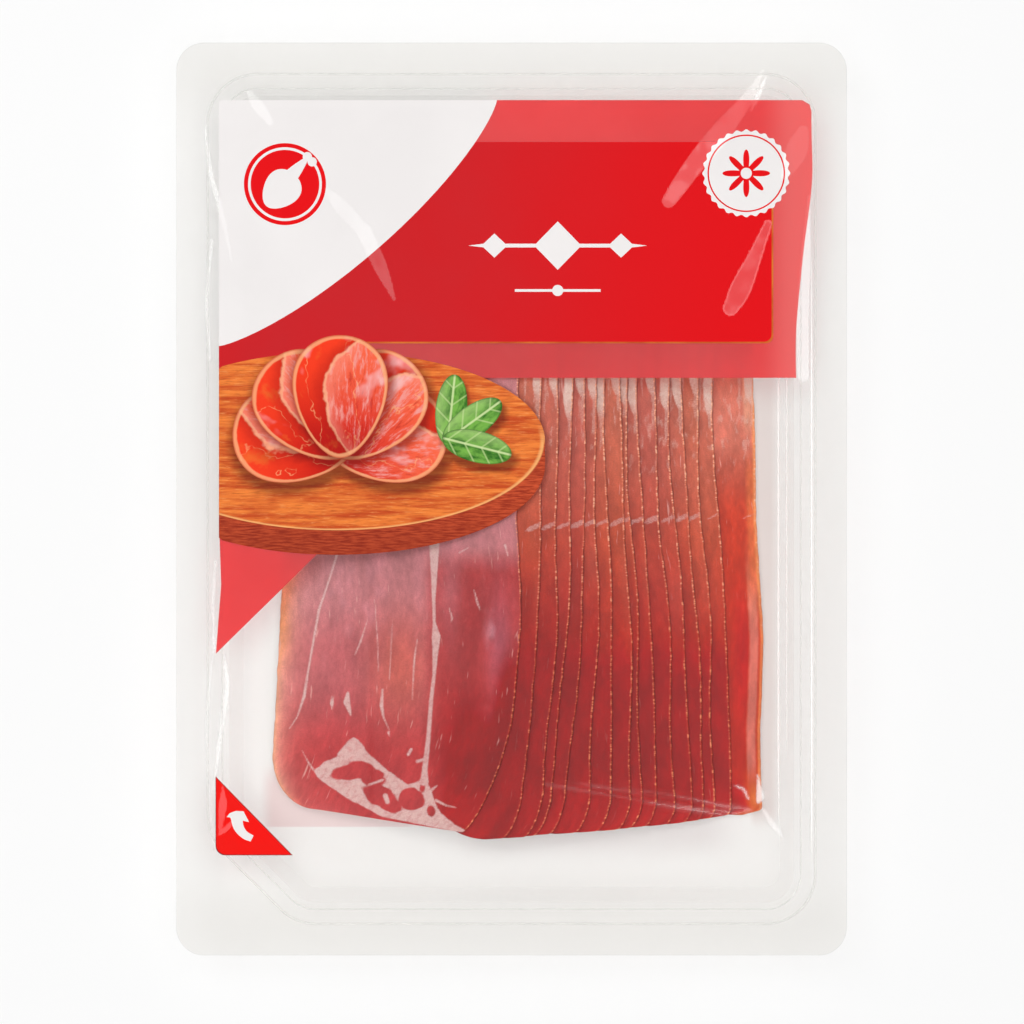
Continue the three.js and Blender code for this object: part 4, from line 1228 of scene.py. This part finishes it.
# What lies above each printed shape and shades it.
ABOVE = {
    "board": ["petal_1", "petal_2", "petal_3", "petal_4", "petal_5", "leaf_1", "leaf_2", "leaf_3"],
    "petal_1": ["petal_2", "leaf_1", "leaf_3"], "petal_5": ["petal_4"], "petal_2": ["petal_3", "leaf_1"],
    "petal_4": ["petal_3"],
}
SHADE_RIGHT, SHADE_DROP, BOARD_SHADE_DROP = 0.6, -0.6, -2.0


def cast_shade(x, y, name):
    """Soft shade from the petals and leaves that lie above a shape."""
    drop = BOARD_SHADE_DROP if name == "board" else SHADE_DROP
    shade = np.zeros(len(x))
    for upper in ABOVE.get(name, []):
        along, across, _ = LOCAL[upper](x - SHADE_RIGHT, y - drop).T
        shade = np.maximum(shade, smooth((1.2 - np.hypot(along, across)) / 0.22))
    return shade


def printed(name, colour_of):
    """Ink of one printed shape, coloured over the shape's own directions u and v."""
    mat = material(name)
    n = Nodes(mat)
    local = n.attribute("local", "Vector")
    u, v, _ = n.split(local)
    face = n.add("ShaderNodeBsdfPrincipled", {"Base Color": colour_of(n, local, u, v)})
    face.inputs["Roughness"].default_value = 0.08
    n.output(face)
    return mat


def radius_of(n, u, v):
    return n.math("SQRT", n.math("ADD", n.times(u, u), n.times(v, v)))


def board_colour(n, local, u, v):
    r = radius_of(n, u, v)
    grain = n.noise(3.0, 5.0, 0.6, n.stretched(local, 1.0, 5.0))
    fine = n.noise(14.0, 3.0, 0.6, n.stretched(local, 1.0, 4.0))
    top = n.painted(
        n.between(n.span(grain, 0.35, 0.65), (196, 74, 30), (238, 130, 56)),
        (n.span(fine, 0.5, 0.75, 0, 0.5), (140, 48, 20)),
        (n.span(fine, 0.45, 0.3, 0, 0.4), (246, 176, 104)),
        (n.times(n.attribute("shadow"), 0.75), (96, 26, 12)),
        (n.times(n.span(r, 0.97, 0.988), n.span(v, 0.25, -0.1), 0.7), (250, 190, 120)),
    )
    side = n.painted(
        n.between(n.span(fine, 0.35, 0.65), (150, 46, 24), (204, 82, 46)),
        (n.span(v, -0.55, -1.2, 0, 0.35), (120, 30, 16)),
    )
    return n.mix(n.times(n.span(r, 0.99, 1.0), n.span(v, 0.05, -0.05)), top, side)


def petal_colour(n, local, u, v):
    r = radius_of(n, u, v)
    uneven = n.noise(1.6, 4.0, 0.6, local)
    fibre = n.noise(5.0, 4.0, 0.7, n.stretched(local, 0.5, 1.6))

    # the inside of the fold lies on one side of a bent line, the outside on the other
    bend = n.math("MULTIPLY_ADD", n.times(u, u), -0.75, n.math("MULTIPLY_ADD", uneven, 0.5, 0.1))
    side = n.math("SUBTRACT", v, bend)
    from_fold = n.math("ABSOLUTE", side)
    near_fold = n.span(from_fold, 0.4, 0.04)
    fold_inside = n.painted(
        n.between(n.span(u, -0.8, 0.6), (196, 20, 10), (242, 58, 26)),
        (n.span(uneven, 0.55, 0.7, 0, 0.6), (238, 116, 44)),
    )
    fold_outside = n.painted(
        n.between(n.span(u, -0.9, 0.8), (214, 38, 28), (244, 98, 66)),
        (n.span(fibre, 0.48, 0.66, 0, 0.75), (238, 160, 152)),
        (n.span(fibre, 0.45, 0.3, 0, 0.6), (178, 26, 26)),
    )

    wander = n.times(n.noise(0.9, 4.0, 0.62, local), 9.0)
    vein = n.math("ABSOLUTE", n.math("SINE", n.math("MULTIPLY_ADD", v, 3.4, wander)))
    gloss = n.span(n.noise(1.1, 3.0, 0.6, local), 0.56, 0.68)
    return n.painted(
        n.mix(n.span(side, -0.02, 0.02), fold_outside, fold_inside),
        (n.span(from_fold, 0.07, 0.02, 0, 0.7), (246, 180, 140)),
        (n.times(n.span(vein, 0.12, 0.02), n.span(fibre, 0.35, 0.6, 0.05, 0.6)), (248, 170, 118)),
        (n.times(near_fold, n.span(side, 0.0, 0.05, 0, 0.5)), (168, 14, 10)),
        (n.times(near_fold, n.span(side, 0.0, -0.05, 0, 0.3)), (250, 168, 148)),
        (n.span(u, -0.2, -0.9, 0, 0.4), (150, 14, 12)),
        (n.times(gloss, n.span(u, -0.3, 0.5, 0, 0.6)), (246, 204, 204)),
        (n.span(n.math("MULTIPLY_ADD", uneven, 0.08, r), 0.955, 0.985, 0, 0.7), (246, 178, 126)),
        (n.span(r, 0.965, 1.0, 0, 0.7), (190, 60, 30)),
        (n.times(n.attribute("shadow"), 0.7), (110, 8, 6)),
    )


def leaf_colour(n, local, u, v):
    uneven = n.noise(1.8, 4.0, 0.6, local)
    from_rib = n.math("ABSOLUTE", v)
    veins = n.math("SINE", n.math("MULTIPLY_ADD", from_rib, -5.0, n.times(u, 13.0)))
    return n.painted(
        n.between(n.span(uneven, 0.35, 0.65), (44, 104, 30), (118, 176, 72)),
        (n.span(v, -0.2, 0.9, 0, 0.5), (176, 210, 128)),
        (n.span(veins, 0.86, 0.99, 0, 0.5), (198, 222, 150)),
        (n.span(from_rib, 0.1, 0.03, 0, 0.85), (206, 226, 160)),
        (n.span(radius_of(n, u, v), 0.9, 1.0, 0, 0.6), (30, 72, 22)),
    )


def ink(name, base, second, scale=30.0, glaze=None, right=None, turn_at=None):
    """Printed ink under the film's gloss: slightly uneven, of another tone at the right where one is given,
    and see-through where a glaze gives the share and the colour that it lets through."""
    mat = material(name)
    n = Nodes(mat)
    place = n.place()
    colour = n.between(n.span(n.noise(scale, 4.0, 0.55, place), 0.3, 0.7), base, second)
    if right:
        turn = n.span(n.split(place)[0], turn_at[0] * MM, turn_at[1] * MM)
        colour = n.painted(colour, (turn, right))
    face = n.add("ShaderNodeBsdfPrincipled", {"Base Color": colour, "Roughness": 0.06})
    face.inputs["Specular IOR Level"].default_value = 0.4
    face.inputs["IOR"].default_value = PLASTIC_IOR
    if glaze:
        clear = n.add("ShaderNodeBsdfTransparent", {"Color": (*glaze[1], 1)})
        face = n.add("ShaderNodeMixShader", {0: 1 - glaze[0], 1: clear, 2: face})
    n.output(face)
    return mat


# Inks by slot, and by name for the fields that have their own.
INKS = {
    "white_print": ink("ink_white", (236, 232, 231), (232, 228, 227)),
    "red_print": ink(
        "ink_red", (252, 122, 124), (246, 112, 114),
        glaze=(0.62, (0.96, 0.06, 0.075)), right=(255, 156, 154), turn_at=(66, 76),
    ),
    "deep_red_print": ink("ink_deep_red", (229, 8, 16), (214, 8, 16), 18),
    # the red panel is duller towards the left: a painted soft reflection of the film
    "red_panel": ink("ink_panel", (194, 36, 42), (200, 28, 34), 18, right=(222, 8, 18), turn_at=(-42, 70)),
    "peel_sign": ink("ink_peel_edge", (150, 26, 32), (126, 22, 30)),
    "peel_face": ink("ink_peel", (244, 14, 8), (236, 22, 16), 60),
    "board_print": ink("ink_board", (214, 116, 48), (186, 74, 34), 90),
    "board": printed("picture_board_ink", board_colour),
    "petal": printed("picture_ham_ink", petal_colour),
    "leaf": printed("picture_leaf_ink", leaf_colour),
}

points, triangles, owner = print_meshes()
heights = film_lift(points[:, 0], points[:, 1])
for k, (name, _, node, slot) in enumerate(FIELDS):
    used, compact = np.unique(triangles[owner == k], return_inverse=True)
    p = points[used]
    faces = facing_up(p, compact.reshape(-1, 3))
    obj = sheet_patch(f"print_{name}", p, heights[used] + PRINT_LIFT + INK, faces, INK)
    if name in LOCAL:
        attribute(obj, "local", np.tile(LOCAL[name](p[:, 0], p[:, 1]), (2, 1)), "FLOAT_VECTOR")
        attribute(obj, "shadow", np.tile(cast_shade(p[:, 0], p[:, 1], name), 2))
    own_ink = INKS.get(name.rstrip("_12345"))
    obj.data.materials.append(own_ink or INKS[slot])
    belongs(obj, slot, *([node] if node else []))

# ---------------------------------------------------------------- stage, light, camera

RING_LIGHT, LOW_LIGHT, FLOOR_GLOW = 2.55, 0.22, 0.415
DISTANCE, SENSOR, FRAME_WIDE = 1.5, 36, 0.27484

bpy.ops.mesh.primitive_plane_add(size=6, location=(0, 0, -0.0002))
floor = bpy.context.object
floor.name = "stage_floor"
mat = material("stage_white")
n = Nodes(mat)
white = n.add("ShaderNodeBsdfPrincipled", {"Base Color": (0.5, 0.5, 0.499, 1), "Roughness": 1.0})
white.inputs["Specular IOR Level"].default_value = 0.0
white.inputs["Emission Color"].default_value = (1, 1, 1, 1)
white.inputs["Emission Strength"].default_value = FLOOR_GLOW
mat.cycles.emission_sampling = "NONE"
n.output(white)
floor.data.materials.append(mat)

# a bright ring high round the pack, a little stronger at the back left, over a low even light
world = bpy.data.worlds.new("studio")
bpy.context.scene.world = world
world.use_nodes = True
n = Nodes(world)
x, y, z = n.split(n.add("ShaderNodeTexCoord").outputs["Generated"])
ring_light = n.times(n.span(z, 0.74, 0.86), n.span(z, 0.985, 0.962))
sideways = n.math("MULTIPLY_ADD", y, 0.25, n.math("MULTIPLY_ADD", x, -0.25, 1.0))
strength = n.math("MULTIPLY_ADD", n.times(ring_light, sideways), RING_LIGHT, LOW_LIGHT)
background = world.node_tree.nodes["Background"]
n.put(background.inputs["Strength"], strength)
background.inputs["Color"].default_value = (1, 1, 1, 1)

lamp_data = bpy.data.lights.new("soft_window", "AREA")
lamp_data.shape = "RECTANGLE"
lamp_data.size = 0.7
lamp_data.size_y = 0.9
lamp_data.energy = 4
lamp = bpy.data.objects.new("soft_window", lamp_data)
bpy.context.scene.collection.objects.link(lamp)
lamp.location = (-0.8, 0.7, 1.3)
lamp.rotation_euler = (-lamp.location).to_track_quat("-Z", "Y").to_euler()

camera_data = bpy.data.cameras.new("camera")
camera = bpy.data.objects.new("camera", camera_data)
bpy.context.scene.collection.objects.link(camera)
camera.location = (0.00013, -0.0035, DISTANCE + TRAY_H * MM)
camera_data.sensor_width = SENSOR
camera_data.lens = SENSOR * DISTANCE / FRAME_WIDE
camera_data.clip_end = 20
bpy.context.scene.camera = camera
bpy.context.scene.view_settings.view_transform = "Standard"
light_paths = bpy.context.scene.cycles
light_paths.transparent_max_bounces = 20
light_paths.max_bounces = 5
light_paths.diffuse_bounces = 2
light_paths.glossy_bounces = 3
